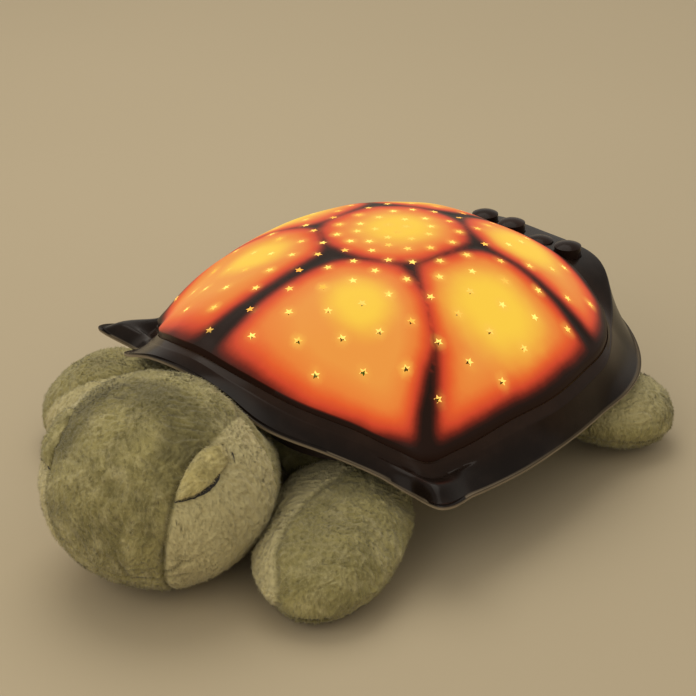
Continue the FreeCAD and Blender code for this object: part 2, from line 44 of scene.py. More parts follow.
import bmesh
import bpy
import numpy as np
from bpy.props import FloatProperty, FloatVectorProperty, IntProperty, PointerProperty
from mathutils import Matrix, Vector, noise
from mathutils.bvhtree import BVHTree
from mathutils.geometry import delaunay_2d_cdt

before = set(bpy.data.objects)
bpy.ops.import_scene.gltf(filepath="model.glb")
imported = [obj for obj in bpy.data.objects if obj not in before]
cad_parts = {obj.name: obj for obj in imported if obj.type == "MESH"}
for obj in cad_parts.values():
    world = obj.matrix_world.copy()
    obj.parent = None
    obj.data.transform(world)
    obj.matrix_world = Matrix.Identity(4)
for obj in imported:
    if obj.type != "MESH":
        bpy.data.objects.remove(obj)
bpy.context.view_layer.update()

MM = 0.001
# The swirls of the pile start from this seed
noise.seed_set(5)
# Side of the photograph and the camera's focal length, in its pixels
IMAGE_SIDE = 696
FOCAL_PIXELS = 2104.59

# Outline of the joint between dome and rim, front centre to rear centre on one side: x, y, z
SEAM_STATIONS = [
    (0, -95.4, 73), (23, -92.7, 69.5), (41, -84.8, 62.6), (59, -70.5, 53.8), (72, -60.6, 46.4),
    (83, -54, 42.6), (86.4, -42, 43.9), (89.7, -16, 48.2), (90.7, 8, 49.8), (86.3, 31.5, 51.4),
    (80.5, 50, 52), (71, 64, 52.6), (57, 75, 55.8), (37, 79.5, 64.5), (20, 80.5, 67.6), (0, 80.5, 68),
]
# Lower edge of the rim
LIP_STATIONS = [
    (0, -105, 68), (22, -105, 66.3), (44, -101, 58.2), (61, -84.5, 47.8), (74.5, -72, 39.2),
    (89, -67.2, 34.4), (106.7, -69.3, 37.3), (103.4, -48.4, 33.1), (102.4, -22.5, 31.5), (99.3, 6.6, 31.6),
    (93.3, 36.5, 32), (89.5, 58, 33.3), (79.7, 77, 33.4), (63, 93.3, 35), (38.4, 105.6, 38), (0, 111.6, 41),
]
# Corners of the top scute on the dome, front centre round to front right, and where each line meets the joint
SCUTE_CORNERS = [(0, -27), (28.6, -9.5), (30.6, 27.5), (0, 45), (-30.6, 27.5), (-28.6, -9.5)]
SCUTE_LINES = [
    [(0, -27), (0, -45), (0, -98)],
    [(28.6, -9.5), (46, -18), (63, -29.5), (76, -47), (85, -56)],
    [(30.6, 27.5), (46, 34.5), (66, 39.5), (86, 44)],
    [(0, 45), (0, 62), (0, 84)],
]
# Brightest places of the lit scutes: x, y, reach
HOT_SPOTS = [(0, 12, 20), (31, -40, 17), (-31, -40, 17), (61, 5, 24), (-61, 5, 24),
             (33, 52, 18), (-33, 52, 18)]
STAR_CORNERS = 10
GOLDEN_ANGLE = 137.508
# The dome's materials: its lit outer skin, and its inside with the walls of the stars
OUTER_SKIN, INNER_SKIN = 0, 1
# Holes of the keys in the rim, in millimetres
KEY_HOLE_RADIUS, KEY_HOLE_DEPTH = 6.2, 14
CLOTH_FRAMES = 20
# Distances from the rim in millimetres: up to the first the plush has no relief, from the second all of it
RIM_CLEARANCE = (1.0, 9.0)
# Attributes that colour the pile
PILE_MARKS = ("pale", "seam", "shade")
TUFT_LENGTH = 1.4
LID_COLUMNS, LID_ROWS = 41, 31
THREAD_STEPS, THREAD_SIDES = 49, 10


class NightLightSizes(bpy.types.PropertyGroup):
    """Sizes of the shell and its stars."""

    apex_height: FloatProperty(
        name="Apex height", description="Top of the dome above the table, in millimetres",
        default=94.8, min=60, max=130)
    dome_wall: FloatProperty(
        name="Dome wall", description="Thickness of the dome, in millimetres", default=2.2, min=1, max=4)
    edge_band: FloatProperty(
        name="Dome edge band", description="Height of the dome's upright edge, in millimetres",
        default=3.0, min=1, max=6)
    fullness: FloatProperty(
        name="Dome fullness", description="How full the dome is towards its edge", default=2.75, min=2, max=4)
    star_count: IntProperty(
        name="Stars", description="Number of star holes", default=140, min=10, max=400)
    star_radius: FloatProperty(
        name="Star radius", description="Centre to tip, in millimetres", default=1.9, min=0.5, max=4)
    rim_wall: FloatProperty(
        name="Rim wall", description="Thickness of the rim, in millimetres", default=2.2, min=1, max=4)


class NightLightColours(bpy.types.PropertyGroup):
    """Colours of the glow and of the plush."""

    glow_heart: FloatVectorProperty(
        name="Glow, middle", description="Colour of a lit scute's brightest place",
        subtype="COLOR", default=(0.93, 0.62, 0.055), min=0, max=1)
    glow_body: FloatVectorProperty(
        name="Glow", description="Colour of a lit scute",
        subtype="COLOR", default=(0.78, 0.21, 0.035), min=0, max=1)
    glow_edge: FloatVectorProperty(
        name="Glow, edge", description="Colour of a lit scute near its border",
        subtype="COLOR", default=(0.60, 0.055, 0.018), min=0, max=1)
    pile: FloatVectorProperty(
        name="Pile", description="Main colour of the plush",
        subtype="COLOR", default=(0.335, 0.292, 0.112), min=0, max=1)
    pile_light: FloatVectorProperty(
        name="Pile, light", description="Colour of the cheeks and of worn pile",
        subtype="COLOR", default=(0.58, 0.51, 0.265), min=0, max=1)


def sizes():
    return bpy.context.scene.night_light_sizes


def colours():
    return bpy.context.scene.night_light_colours


def smooth_curve(xs, ys, x):
    """Smooth curve through (xs, ys), flat at both ends, at each x of an array."""
    xs, ys, x = np.array(xs, float), np.array(ys, float), np.asarray(x, float)
    slope = np.zeros(len(xs))
    slope[1:-1] = (ys[2:] - ys[:-2]) / (xs[2:] - xs[:-2])
    i = np.clip(np.searchsorted(xs, x, side="right") - 1, 0, len(xs) - 2)
    span = xs[i + 1] - xs[i]
    t = np.clip((x - xs[i]) / span, 0, 1)
    a, b = (1 + 2 * t) * (1 - t) ** 2, t * (1 - t) ** 2
    c, d = t * t * (3 - 2 * t), t * t * (t - 1)
    return a * ys[i] + b * span * slope[i] + c * ys[i + 1] + d * span * slope[i + 1]


class Outline:
    """A closed outline, alike on both sides of the YZ plane, as radius and height by angle in degrees."""

    def __init__(self, stations):
        self.angles = [math.degrees(math.atan2(y, x)) for x, y, z in stations]
        self.radii = [math.hypot(x, y) for x, y, z in stations]
        self.heights = [z for x, y, z in stations]

    def radius(self, angle):
        return smooth_curve(self.angles, self.radii, angle)

    def height(self, angle):
        return smooth_curve(self.angles, self.heights, angle)


seam = Outline(SEAM_STATIONS)
lip = Outline(LIP_STATIONS)


def folded(x, y):
    """Angle in degrees of a place, folded to the +X side."""
    return np.degrees(np.arctan2(y, np.abs(x)))


def bump(angle, centre, width):
    """1 at centre, fading out over about width to both sides."""
    return np.exp(-((angle - centre) / width) ** 2)


def rise(x, low, high):
    """0 below low, 1 above high, smooth in between."""
    t = np.clip((x - low) / (high - low), 0, 1)
    return t * t * (3 - 2 * t)


def dome_height(x, y):
    """Height of the dome's outside, without its grooves."""
    s = sizes()
    angle = folded(x, y)
    edge = seam.height(angle) + s.edge_band
    return s.apex_height - (s.apex_height - edge) * (np.hypot(x, y) / seam.radius(angle)) ** s.fullness


def line_distance(points, line):
    """Distance of each point of an array to a polyline, in as many dimensions as they have."""
    best = np.full(len(points), 1e9)
    for a, b in zip(line[:-1], line[1:]):
        a, b = np.array(a, float), np.array(b, float)
        way = b - a
        t = np.clip(((points - a) @ way) / (way @ way), 0, 1)
        best = np.minimum(best, np.linalg.norm(points - a - t[:, None] * way, axis=1))
    return best


def link(piece):
    bpy.context.scene.collection.objects.link(piece)
    return piece


def object_from(name, points, faces):
    """A mesh object from points in millimetres."""
    mesh = bpy.data.meshes.new(name)
    places = [tuple(p) for p in np.asarray(points) * MM]
    mesh.from_pydata(places, [], [tuple(int(i) for i in f) for f in faces])
    mesh.update()
    return link(bpy.data.objects.new(name, mesh))


def shade_smooth(piece):
    piece.data.shade_smooth()


def set_material(piece, material):
    piece.data.materials.clear()
    piece.data.materials.append(material)


def vertex_array(mesh):
    points = np.empty(len(mesh.vertices) * 3)
    mesh.vertices.foreach_get("co", points)
    return points.reshape(-1, 3) / MM


def normal_array(mesh):
    normals = np.empty(len(mesh.vertices) * 3)
    mesh.vertex_normals.foreach_get("vector", normals)
    return normals.reshape(-1, 3)


def put_vertices(mesh, points):
    mesh.vertices.foreach_set("co", (np.asarray(points) * MM).ravel())
    mesh.update()


def put_attribute(mesh, name, values):
    layer = mesh.attributes.new(name, "FLOAT", "POINT")
    layer.data.foreach_set("value", np.asarray(values, dtype=float).ravel())


def baked(piece):
    """Replaces a piece's mesh by its evaluated one and takes its modifiers off."""
    bpy.context.view_layer.update()
    graph = bpy.context.evaluated_depsgraph_get()
    mesh = bpy.data.meshes.new_from_object(piece.evaluated_get(graph))
    piece.modifiers.clear()
    piece.data = mesh
    return mesh


def subdivided(piece, levels):
    fine = piece.modifiers.new("fine", "SUBSURF")
    fine.levels = levels
    fine.render_levels = levels
    return baked(piece)


def face_outward(piece):
    shape = bmesh.new()
    shape.from_mesh(piece.data)
    bmesh.ops.recalc_face_normals(shape, faces=shape.faces)
    shape.to_mesh(piece.data)
    shape.free()


def sharpen(piece, limit):
    """Keeps an edge sharp where the normals of its two faces have a cosine under limit."""
    shape = bmesh.new()
    shape.from_mesh(piece.data)
    for edge in shape.edges:
        if len(edge.link_faces) == 2 and edge.link_faces[0].normal.dot(edge.link_faces[1].normal) < limit:
            edge.smooth = False
    shape.to_mesh(piece.data)
    shape.free()


# Shader maths


class Value:
    """A number on a socket: sums of Values add Math nodes."""

    def __init__(self, shader, socket):
        self.shader = shader
        self.socket = socket

    def math(self, operation, first, second):
        node = self.shader.node("ShaderNodeMath", {"operation": operation}, {0: first, 1: second})
        return Value(self.shader, node.outputs[0])

    def __add__(self, other):
        return self.math("ADD", self, other)

    __radd__ = __add__

    def __sub__(self, other):
        return self.math("SUBTRACT", self, other)

    def __rsub__(self, other):
        return self.math("SUBTRACT", other, self)

    def __mul__(self, other):
        return self.math("MULTIPLY", self, other)

    __rmul__ = __mul__

    def __truediv__(self, other):
        return self.math("DIVIDE", self, other)

    def __rtruediv__(self, other):
        return self.math("DIVIDE", other, self)

    def between(self, low, high):
        """0 below low, 1 above high, smooth in between."""
        node = self.shader.node("ShaderNodeMapRange", {"interpolation_type": "SMOOTHSTEP"},
                                {"Value": self, "From Min": low, "From Max": high})
        return Value(self.shader, node.outputs[0])


class Shader:
    """One material with a Principled surface."""

    def __init__(self, name, **constants):
        self.material = bpy.data.materials.new(name)
        self.material.use_nodes = True
        self.tree = self.material.node_tree
        self.tree.nodes.clear()
        self.surface = self.tree.nodes.new("ShaderNodeBsdfPrincipled")
        output = self.tree.nodes.new("ShaderNodeOutputMaterial")
        self.tree.links.new(self.surface.outputs[0], output.inputs[0])
        for key, value in constants.items():
            self.surface.inputs[key.replace("_", " ")].default_value = value
        self.place = self.node("ShaderNodeTexCoord").outputs["Object"]

    def node(self, kind, settings=None, inputs=None):
        made = self.tree.nodes.new(kind)
        for key, value in (settings or {}).items():
            if key == "stops":
                self.set_stops(made.color_ramp, value)
            else:
                setattr(made, key, value)
        for key, value in (inputs or {}).items():
            self.feed(made.inputs[key], value)
        return made

    def feed(self, socket, value):
        if isinstance(value, Value):
            value = value.socket
        if isinstance(value, bpy.types.NodeSocket):
            self.tree.links.new(value, socket)
        else:
            socket.default_value = value

    @staticmethod
    def set_stops(ramp, stops):
        ramp.elements[0].position = stops[0][0]
        ramp.elements[-1].position = stops[-1][0]
        for place, colour in stops[1:-1]:
            ramp.elements.new(place)
        for element, (place, colour) in zip(ramp.elements, stops):
            element.color = (*colour, 1)

    def stretched(self, stretch):
        """The place on the piece, in metres, times stretch along each axis."""
        node = self.node("ShaderNodeVectorMath", {"operation": "MULTIPLY"}, {0: self.place, 1: stretch})
        return node.outputs[0]

    def noise(self, size_mm, detail, roughness, stretch=(1, 1, 1), distortion=0.0):
        """Soft noise between 0 and 1 with features of about that size."""
        made = self.node("ShaderNodeTexNoise", {}, {
            "Vector": self.stretched(stretch), "Scale": 1000.0 / size_mm, "Detail": detail,
            "Roughness": roughness, "Distortion": distortion})
        return Value(self, made.outputs[0])

    def spots(self, size_mm):
        made = self.node("ShaderNodeTexVoronoi", {}, {
            "Vector": self.stretched((1, 1, 1)), "Scale": 1000.0 / size_mm})
        return Value(self, made.outputs[0])

    def attribute(self, name):
        return Value(self, self.node("ShaderNodeAttribute", {"attribute_name": name}).outputs["Fac"])

    def mix(self, first, second, share):
        """First colour at share 0, second at share 1. Inputs 6 and 7 and output 2 are the node's colours."""
        node = self.node("ShaderNodeMix", {"data_type": "RGBA"},
                         {0: share, 6: self.solid(first), 7: self.solid(second)})
        return node.outputs[2]

    @staticmethod
    def solid(colour):
        return (*colour, 1) if isinstance(colour, tuple) else colour

    def ramp(self, value, stops):
        return self.node("ShaderNodeValToRGB", {"stops": stops}, {0: value}).outputs[0]

    def bump(self, height, distance_mm, strength):
        node = self.node("ShaderNodeBump", {}, {
            "Height": height, "Distance": distance_mm * MM, "Strength": strength})
        self.tree.links.new(node.outputs[0], self.surface.inputs["Normal"])

    def put(self, **inputs):
        for key, value in inputs.items():
            self.feed(self.surface.inputs[key.replace("_", " ")], value)
        return self


def tint(colour, factor):
    return tuple(min(1.0, c * factor) for c in colour)


def pile_material(name, main, light):
    """Short mottled pile: patches, streaks and tufts in colour and relief."""
    shader = Shader(name, Roughness=0.95, Sheen_Weight=0.22, Sheen_Roughness=0.5)
    shader.surface.inputs["Specular IOR Level"].default_value = 0.15
    patches = shader.noise(26, 3, 0.6, distortion=0.4)
    mottle = shader.noise(6, 4, 0.65, stretch=(1, 1, 0.7))
    tufts = shader.noise(1.5, 3, 0.7, stretch=(1, 1, 0.55))
    strands = shader.noise(0.55, 2, 0.6, stretch=(1.4, 1.4, 0.5))
    base = shader.mix(tint(main, 0.62), main, patches.between(0.33, 0.6))
    base = shader.mix(base, light, mottle.between(0.42, 0.78) * 0.6)
    base = shader.mix(base, tint(main, 0.48), tufts.between(0.52, 0.8) * 0.6)
    base = shader.mix(base, tint(light, 1.15), strands.between(0.55, 0.8) * 0.45)
    base = shader.mix(base, light, shader.attribute("pale"))
    # Dark seams and stitches, with painted shade in the head's creases
    base = shader.mix(base, tint(main, 0.16), shader.attribute("seam"))
    base = shader.mix(base, tint(main, 0.42), shader.attribute("shade") * mottle.between(0.15, 0.6))
    tone = shader.attribute("tone")
    base = shader.mix(base, tint(main, 0.6), (0.3 - tone).between(0.0, 0.3) * 0.3)
    base = shader.mix(base, tint(light, 1.1), tone.between(0.5, 1.0) * 0.35)
    shader.put(Base_Color=base)
    shader.bump(tufts * 0.7 + strands * 0.45 + mottle * 0.6, 0.9, 0.85)
    return shader.material


def plush_material(name):
    """Pile in the plush's own two colours."""
    c = colours()
    return pile_material(name, tuple(c.pile), tuple(c.pile_light))


def glossy_brown(name, base=(0.0075, 0.0048, 0.0036)):
    """Glossy moulded dark plastic with a little dust, a painted reflection of the dome's glow on its ledge
    and a painted highlight along its lip.
    """
    shader = Shader(name)
    shader.surface.inputs["Specular IOR Level"].default_value = 0.10
    dust = shader.noise(14, 4, 0.6)
    grain = shader.noise(0.8, 2, 0.5)
    moulded = shader.mix(base, tint(base, 1.9), dust.between(0.4, 0.75))
    # Painted reflection of the dome's glow on the ledge beside the joint
    lit = shader.attribute("lit_ledge") * (0.3 + dust * 0.7)
    moulded = shader.mix(moulded, (0.030, 0.0145, 0.0085), lit)
    # Painted highlight: the pale line where the rim's thin lip catches the light, flecked by the dust
    lip_highlight = shader.attribute("worn_edge") * (0.6 + dust * 0.5)
    shader.put(Base_Color=shader.mix(moulded, (0.30, 0.24, 0.16), lip_highlight))
    shader.put(Roughness=0.16 + dust * 0.12 + grain * 0.03)
    shader.bump(dust + grain * 0.05, 0.05, 0.4)
    return shader.material


def fine_plastic(name, base, roughness=0.45):
    """Moulded plastic with a fine spark-eroded grain."""
    shader = Shader(name)
    grain = shader.noise(0.5, 3, 0.6)
    cloud = shader.noise(20, 3, 0.5)
    shader.put(Base_Color=shader.mix(tint(base, 0.85), tint(base, 1.12), cloud.between(0.35, 0.7)))
    shader.put(Roughness=roughness + grain * 0.15 - 0.07)
    shader.bump(grain, 0.05, 0.6)
    return shader.material


def plated_steel(name, base=(0.58, 0.58, 0.56), roughness=0.3):
    shader = Shader(name, Metallic=1.0)
    marks = shader.noise(0.7, 3, 0.6, stretch=(1, 5, 1))
    shader.put(Base_Color=shader.mix(tint(base, 0.8), base, marks), Roughness=roughness + marks * 0.15)
    shader.bump(marks, 0.02, 0.4)
    return shader.material


def board_material(name):
    """Green solder mask over faint copper runs."""
    shader = Shader(name, Coat_Weight=0.3, Coat_Roughness=0.15)
    runs = shader.node("ShaderNodeTexBrick", {"offset": 0.5}, {
        "Vector": shader.place, "Scale": 130.0, "Mortar Size": 0.03,
        "Color1": (0, 0, 0, 1), "Color2": (0, 0, 0, 1), "Mortar": (1, 1, 1, 1)})
    cloud = shader.noise(9, 3, 0.5)
    shader.put(Base_Color=shader.mix((0.012, 0.09, 0.03), (0.03, 0.16, 0.06), runs.outputs[0]))
    shader.put(Roughness=0.35 + cloud * 0.15)
    shader.bump(Value(shader, runs.outputs[1]), 0.03, 0.5)
    return shader.material


def lens_material(name, base, lit=None):
    shader = Shader(name, Coat_Weight=0.5)
    cloud = shader.noise(3, 2, 0.5)
    shader.put(Base_Color=shader.mix(tint(base, 0.8), base, cloud), Roughness=0.12 + cloud * 0.08)
    if lit:
        shader.put(Emission_Color=shader.mix(tint(lit, 0.75), lit, cloud), Emission_Strength=4.0)
    return shader.material


def tape_material(name, base):
    """Hook or loop tape: rows of small loops."""
    shader = Shader(name, Roughness=0.9, Sheen_Weight=0.2)
    loops = shader.spots(0.9)
    cloud = shader.noise(5, 3, 0.6)
    shader.put(Base_Color=shader.mix(tint(base, 0.5), tint(base, 1.3), loops.between(0.1, 0.7)))
    shader.bump(loops + cloud * 0.3, 0.4, 0.9)
    return shader.material


def glow_material():
    """The lit outer skin of the dome: dark lines, red edges, orange fields and yellow hearts."""
    c = colours()
    shader = Shader("lit_dome", Emission_Strength=1.0)
    shader.surface.inputs["Specular IOR Level"].default_value = 0.08
    waver = shader.noise(16, 3, 0.5)
    fine = shader.noise(2.5, 3, 0.6)
    border = shader.attribute("border") + (waver - 0.5) * 2.4 + (fine - 0.5) * 0.5
    heart = shader.attribute("heart") + (waver - 0.5) * 0.25
    halo = shader.attribute("halo")
    field = shader.ramp(border / 18.0, [
        (0.0, (0.009, 0.0035, 0.002)), (0.07, (0.035, 0.006, 0.003)), (0.15, (0.16, 0.014, 0.006)),
        (0.29, tuple(c.glow_edge)), (0.42, (0.74, 0.10, 0.020)), (0.62, tuple(c.glow_body)),
        (1.0, (0.80, 0.30, 0.05)),
    ])
    lit = shader.mix(field, tuple(c.glow_heart), heart.between(0.3, 1.0) * border.between(3.0, 12.0) * 0.9)
    lit = shader.mix(lit, (0.95, 0.55, 0.08), halo * border.between(1.5, 6.0) * 0.6)
    shader.put(Emission_Color=lit)
    inner = border.between(2.0, 12.0)
    shader.put(Base_Color=shader.mix((0.007, 0.0035, 0.0025), (0.05, 0.014, 0.004), inner))
    shader.put(Roughness=0.3 + fine * 0.12)
    shader.bump(fine, 0.03, 0.35)
    return shader.material


def inner_glow_material():
    """The inside of the dome and the walls of the stars, washed by the lamp."""
    shader = Shader("lamp_wash", Roughness=0.5, Emission_Strength=1.3)
    cloud = shader.noise(18, 3, 0.5)
    wash = shader.mix((0.95, 0.40, 0.06), (1.0, 0.68, 0.16), cloud.between(0.3, 0.65))
    shader.put(Emission_Color=shader.mix((0.0, 0.0, 0.0), wash, shader.attribute("lamp_reach")))
    reach = shader.attribute("lamp_reach") * cloud
    shader.put(Base_Color=shader.mix((0.02, 0.01, 0.006), (0.35, 0.16, 0.05), reach))
    return shader.material


# Dome


def star_outlines():
    """Each star hole's ten corners in plan, and its middle, closer together towards the top."""
    s = sizes()
    stars = []
    for k in range(s.star_count):
        turn = math.radians(k * GOLDEN_ANGLE + 11)
        share = 0.93 * ((k + 2.2) / (s.star_count + 2.2)) ** 0.7
        angle = math.degrees(math.atan2(math.sin(turn), abs(math.cos(turn))))
        r = share * float(seam.radius(angle))
        x, y = r * math.cos(turn), r * math.sin(turn)

        def height(dx, dy):
            return float(dome_height(x + dx, y + dy))

        normal = Vector((height(-0.5, 0) - height(0.5, 0), height(0, -0.5) - height(0, 0.5), 1)).normalized()
        across = Vector((1, 0, 0)).cross(normal).normalized()
        along = normal.cross(across)
        corners = []
        for i in range(STAR_CORNERS):
            reach = s.star_radius * (1 if i % 2 == 0 else 0.46)
            t = math.radians(360 / STAR_CORNERS * i + 25 * k)
            step = across * (reach * math.cos(t)) + along * (reach * math.sin(t))
            corners.append((x + step.x, y + step.y))
        stars.append((np.array((x, y)), np.array(corners)))
    return stars


def inside_polygon(points, corners):
    inside = np.zeros(len(points), bool)
    for a, b in zip(corners, np.roll(corners, -1, axis=0)):
        crosses = (a[1] > points[:, 1]) != (b[1] > points[:, 1])
        with np.errstate(divide="ignore", invalid="ignore"):
            x = a[0] + (points[:, 1] - a[1]) / (b[1] - a[1]) * (b[0] - a[0])
        inside ^= crosses & (points[:, 0] < x)
    return inside


def plan_points(stars):
    """Points of the dome in plan: its outline, then rings inside it, kept off the stars."""
    turn = np.radians(np.arange(0, 360, 1.0))
    edge = seam.radius(folded(np.cos(turn), np.sin(turn)))
    outline = np.column_stack([edge * np.cos(turn), edge * np.sin(turn)])
    rings = [np.zeros((1, 2))]
    for share in np.append(np.arange(0.02, 0.9, 0.019), np.arange(0.9, 0.995, 0.014)):
        count = max(8, int(share * 330))
        t = np.linspace(0, 2 * math.pi, count, endpoint=False) + share * 7
        r = share * seam.radius(folded(np.cos(t), np.sin(t)))
        rings.append(np.column_stack([r * np.cos(t), r * np.sin(t)]))
    inner = np.concatenate(rings)
    for middle, _ in stars:
        near = np.linalg.norm(inner - middle, axis=1) < sizes().star_radius + 0.55
        inner = inner[~near]
    return outline, inner


def scute_border(x, y, z):
    """Distance in millimetres from the dark lines between the scutes, rounded in the scutes' corners."""
    flat = np.column_stack([x, y])
    far = np.hypot(x, y)
    dark_corners = SCUTE_CORNERS[:1] + SCUTE_CORNERS[2:5]
    corner = np.min([np.linalg.norm(flat - place, axis=1) for place in dark_corners], axis=0)
    ring = SCUTE_CORNERS + SCUTE_CORNERS[:1]
    reaches = [line_distance(flat, ring) + 2.8 - 3.2 * np.exp(-(corner / 10) ** 2)]
    for line, faint in zip(SCUTE_LINES, (2.2, 4.8, 2.2, 1.6)):
        width = 0.7 + 0.9 * rise(far, 66, 92) - faint * np.exp(-((far - 54) / 22) ** 2)
        for side in (1, -1):
            reaches.append(line_distance(flat, [(side * a, b) for a, b in line]) * 1.1 - width)
    angle = folded(x, y)
    band = np.interp(angle, [-90, -75, -60, -45, -33, 0, 90], [2.0, 1.2, -0.8, 0.4, 4.2, 4.0, 4.2])
    reaches.append((z - seam.height(angle) - band) * 1.05)
    soft = 2.4
    total = sum(np.exp(-np.clip(reach, -20, 60) / soft) for reach in reaches)
    return -soft * np.log(total)


def dome_plan(stars):
    """The dome in plan: points, and triangles that leave the star holes open."""
    outline, inner = plan_points(stars)
    points = [outline]
    edges = [(i, (i + 1) % len(outline)) for i in range(len(outline))]
    start = len(outline)
    for _, corners in stars:
        points.append(corners)
        edges += [(start + i, start + (i + 1) % STAR_CORNERS) for i in range(STAR_CORNERS)]
        start += STAR_CORNERS
    points.append(inner)
    found = delaunay_2d_cdt([Vector(p) for p in np.concatenate(points)], edges, [], 0, 1e-5)
    plan = np.array([tuple(p) for p in found[0]])
    faces = np.array([f for f in found[2] if len(f) == 3])
    middles = plan[faces].mean(axis=1)
    keep = np.hypot(*middles.T) < seam.radius(folded(*middles.T)) * 0.9999
    for middle, corners in stars:
        near = np.where(np.linalg.norm(middles - middle, axis=1) < sizes().star_radius)[0]
        keep[near[inside_polygon(middles[near], corners)]] = False
    faces = faces[keep]
    first, second, third = (plan[faces[:, k]] for k in range(3))
    turned = np.cross(second - first, third - first) < 0
    faces[turned] = faces[turned][:, ::-1]
    return plan, faces


def dome_skins(plan):
    """Points of the outer and the inner skin, and how far each is from the dark lines and out to the seam."""
    x, y = plan.T
    z = dome_height(x, y)
    border = scute_border(x, y, z)
    groove = 0.45 * np.exp(-(np.maximum(border + 1.5, 0) / 2.2) ** 2)
    step = 0.2
    fall_x = dome_height(x - step, y) - dome_height(x + step, y)
    fall_y = dome_height(x, y - step) - dome_height(x, y + step)
    normals = np.column_stack([fall_x, fall_y, np.full(len(x), 2 * step)])
    normals /= np.linalg.norm(normals, axis=1)[:, None]
    share = np.hypot(x, y) / seam.radius(folded(x, y))
    outer = np.column_stack([x, y, z]) - normals * (groove * rise(1 - share, 0.0, 0.06))[:, None]
    inside = outer - normals * sizes().dome_wall
    floor = seam.height(folded(inside[:, 0], inside[:, 1])) + 0.25
    inside[:, 2] = np.maximum(inside[:, 2], floor)
    return outer, inside, border, share


def dome_faces(faces, outer, share):
    """Faces of both skins and of the walls between them, each face's material, and the edge's foot points."""
    count = len(outer)
    made = [tuple(f) for f in faces] + [tuple(f[::-1] + count) for f in faces]
    skins = [OUTER_SKIN] * len(faces) + [INNER_SKIN] * len(faces)
    sides = {}
    for f in faces:
        for a, b in ((f[0], f[1]), (f[1], f[2]), (f[2], f[0])):
            sides[(int(a), int(b))] = True
    band, feet = {}, []
    for a, b in sides:
        if (b, a) in sides:
            continue
        if min(share[a], share[b]) <= 0.995:
            made.append((b, a, a + count, b + count))
            skins.append(INNER_SKIN)
            continue
        for v in (a, b):
            if v not in band:
                foot = outer[v].copy()
                foot[2] = float(seam.height(folded(foot[0], foot[1]))) - 0.2
                band[v] = 2 * count + len(feet)
                feet.append(foot)
        made += [(b, a, band[a], band[b]), (band[b], band[a], a + count, b + count)]
        skins += [OUTER_SKIN, INNER_SKIN]
    return made, skins, np.array(feet)


def mark_dome(mesh, border, stars):
    """Writes what the glow needs at each point: distance from dark lines, hearts, halos and lamp light."""
    places = vertex_array(mesh)
    x, y, z = places.T
    put_attribute(mesh, "border", border)
    heart, halo = np.zeros(len(places)), np.zeros(len(places))
    for hx, hy, reach in HOT_SPOTS:
        heart = np.maximum(heart, np.exp(-((x - hx) ** 2 + (y - hy) ** 2) / reach ** 2) * 1.1)
    put_attribute(mesh, "heart", heart)
    for k, (middle, _) in enumerate(stars):
        reach = np.linalg.norm(places[:, :2] - middle, axis=1)
        strength = 0.35 + 0.65 * ((k * 7) % 5) / 4
        halo = np.maximum(halo, np.exp(-(np.maximum(reach - 1.0, 0) / 1.6) ** 2) * strength)
    put_attribute(mesh, "halo", halo)
    put_attribute(mesh, "lamp_reach", rise(z - seam.height(folded(x, y)), 3.0, 9.0))


def make_dome():
    stars = star_outlines()
    plan, triangles = dome_plan(stars)
    outer, inside, border, share = dome_skins(plan)
    faces, skins, feet = dome_faces(triangles, outer, share)
    piece = object_from("dome", np.concatenate([outer, inside, feet]), faces)
    mesh = piece.data
    mesh.materials.append(glow_material())
    mesh.materials.append(inner_glow_material())
    mesh.polygons.foreach_set("material_index", skins)
    shade_smooth(piece)
    sharpen(piece, 0.6)
    mark_dome(mesh, np.concatenate([border, border, np.full(len(feet), -6.0)]), stars)
    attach(piece, "housing")
    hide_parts("dome_shell")
    return piece


# Rim


def pinch(angle):
    return 1 - 0.7 * bump(angle, -33.0, 9) - 0.5 * bump(angle, 40.0, 10)


def ledge_radius(angle):
    return seam.radius(angle) + 3.6 * pinch(angle) + 18.4 * rise(angle, 46, 76)


def ledge_height(angle):
    return seam.height(angle) - 3.0 * pinch(angle) * (1 - 0.75 * bump(angle, -90, 25))


def recess(angle):
    return 17.0 * bump(angle, -90, 24)


def skirt(angle, share):
    horn = bump(angle, -33.0, 9)
    hollow = 0.1 * (1 - horn) * math.sin(math.pi * share)
    radius = ledge_radius(angle) + (lip.radius(angle) - ledge_radius(angle)) * (share - hollow)
    height = ledge_height(angle) + (lip.height(angle) - ledge_height(angle)) * share
    return radius, height + horn * (2.6 * bump(share, 0.6, 0.25) - 4.0 * bump(share, 0.13, 0.12))


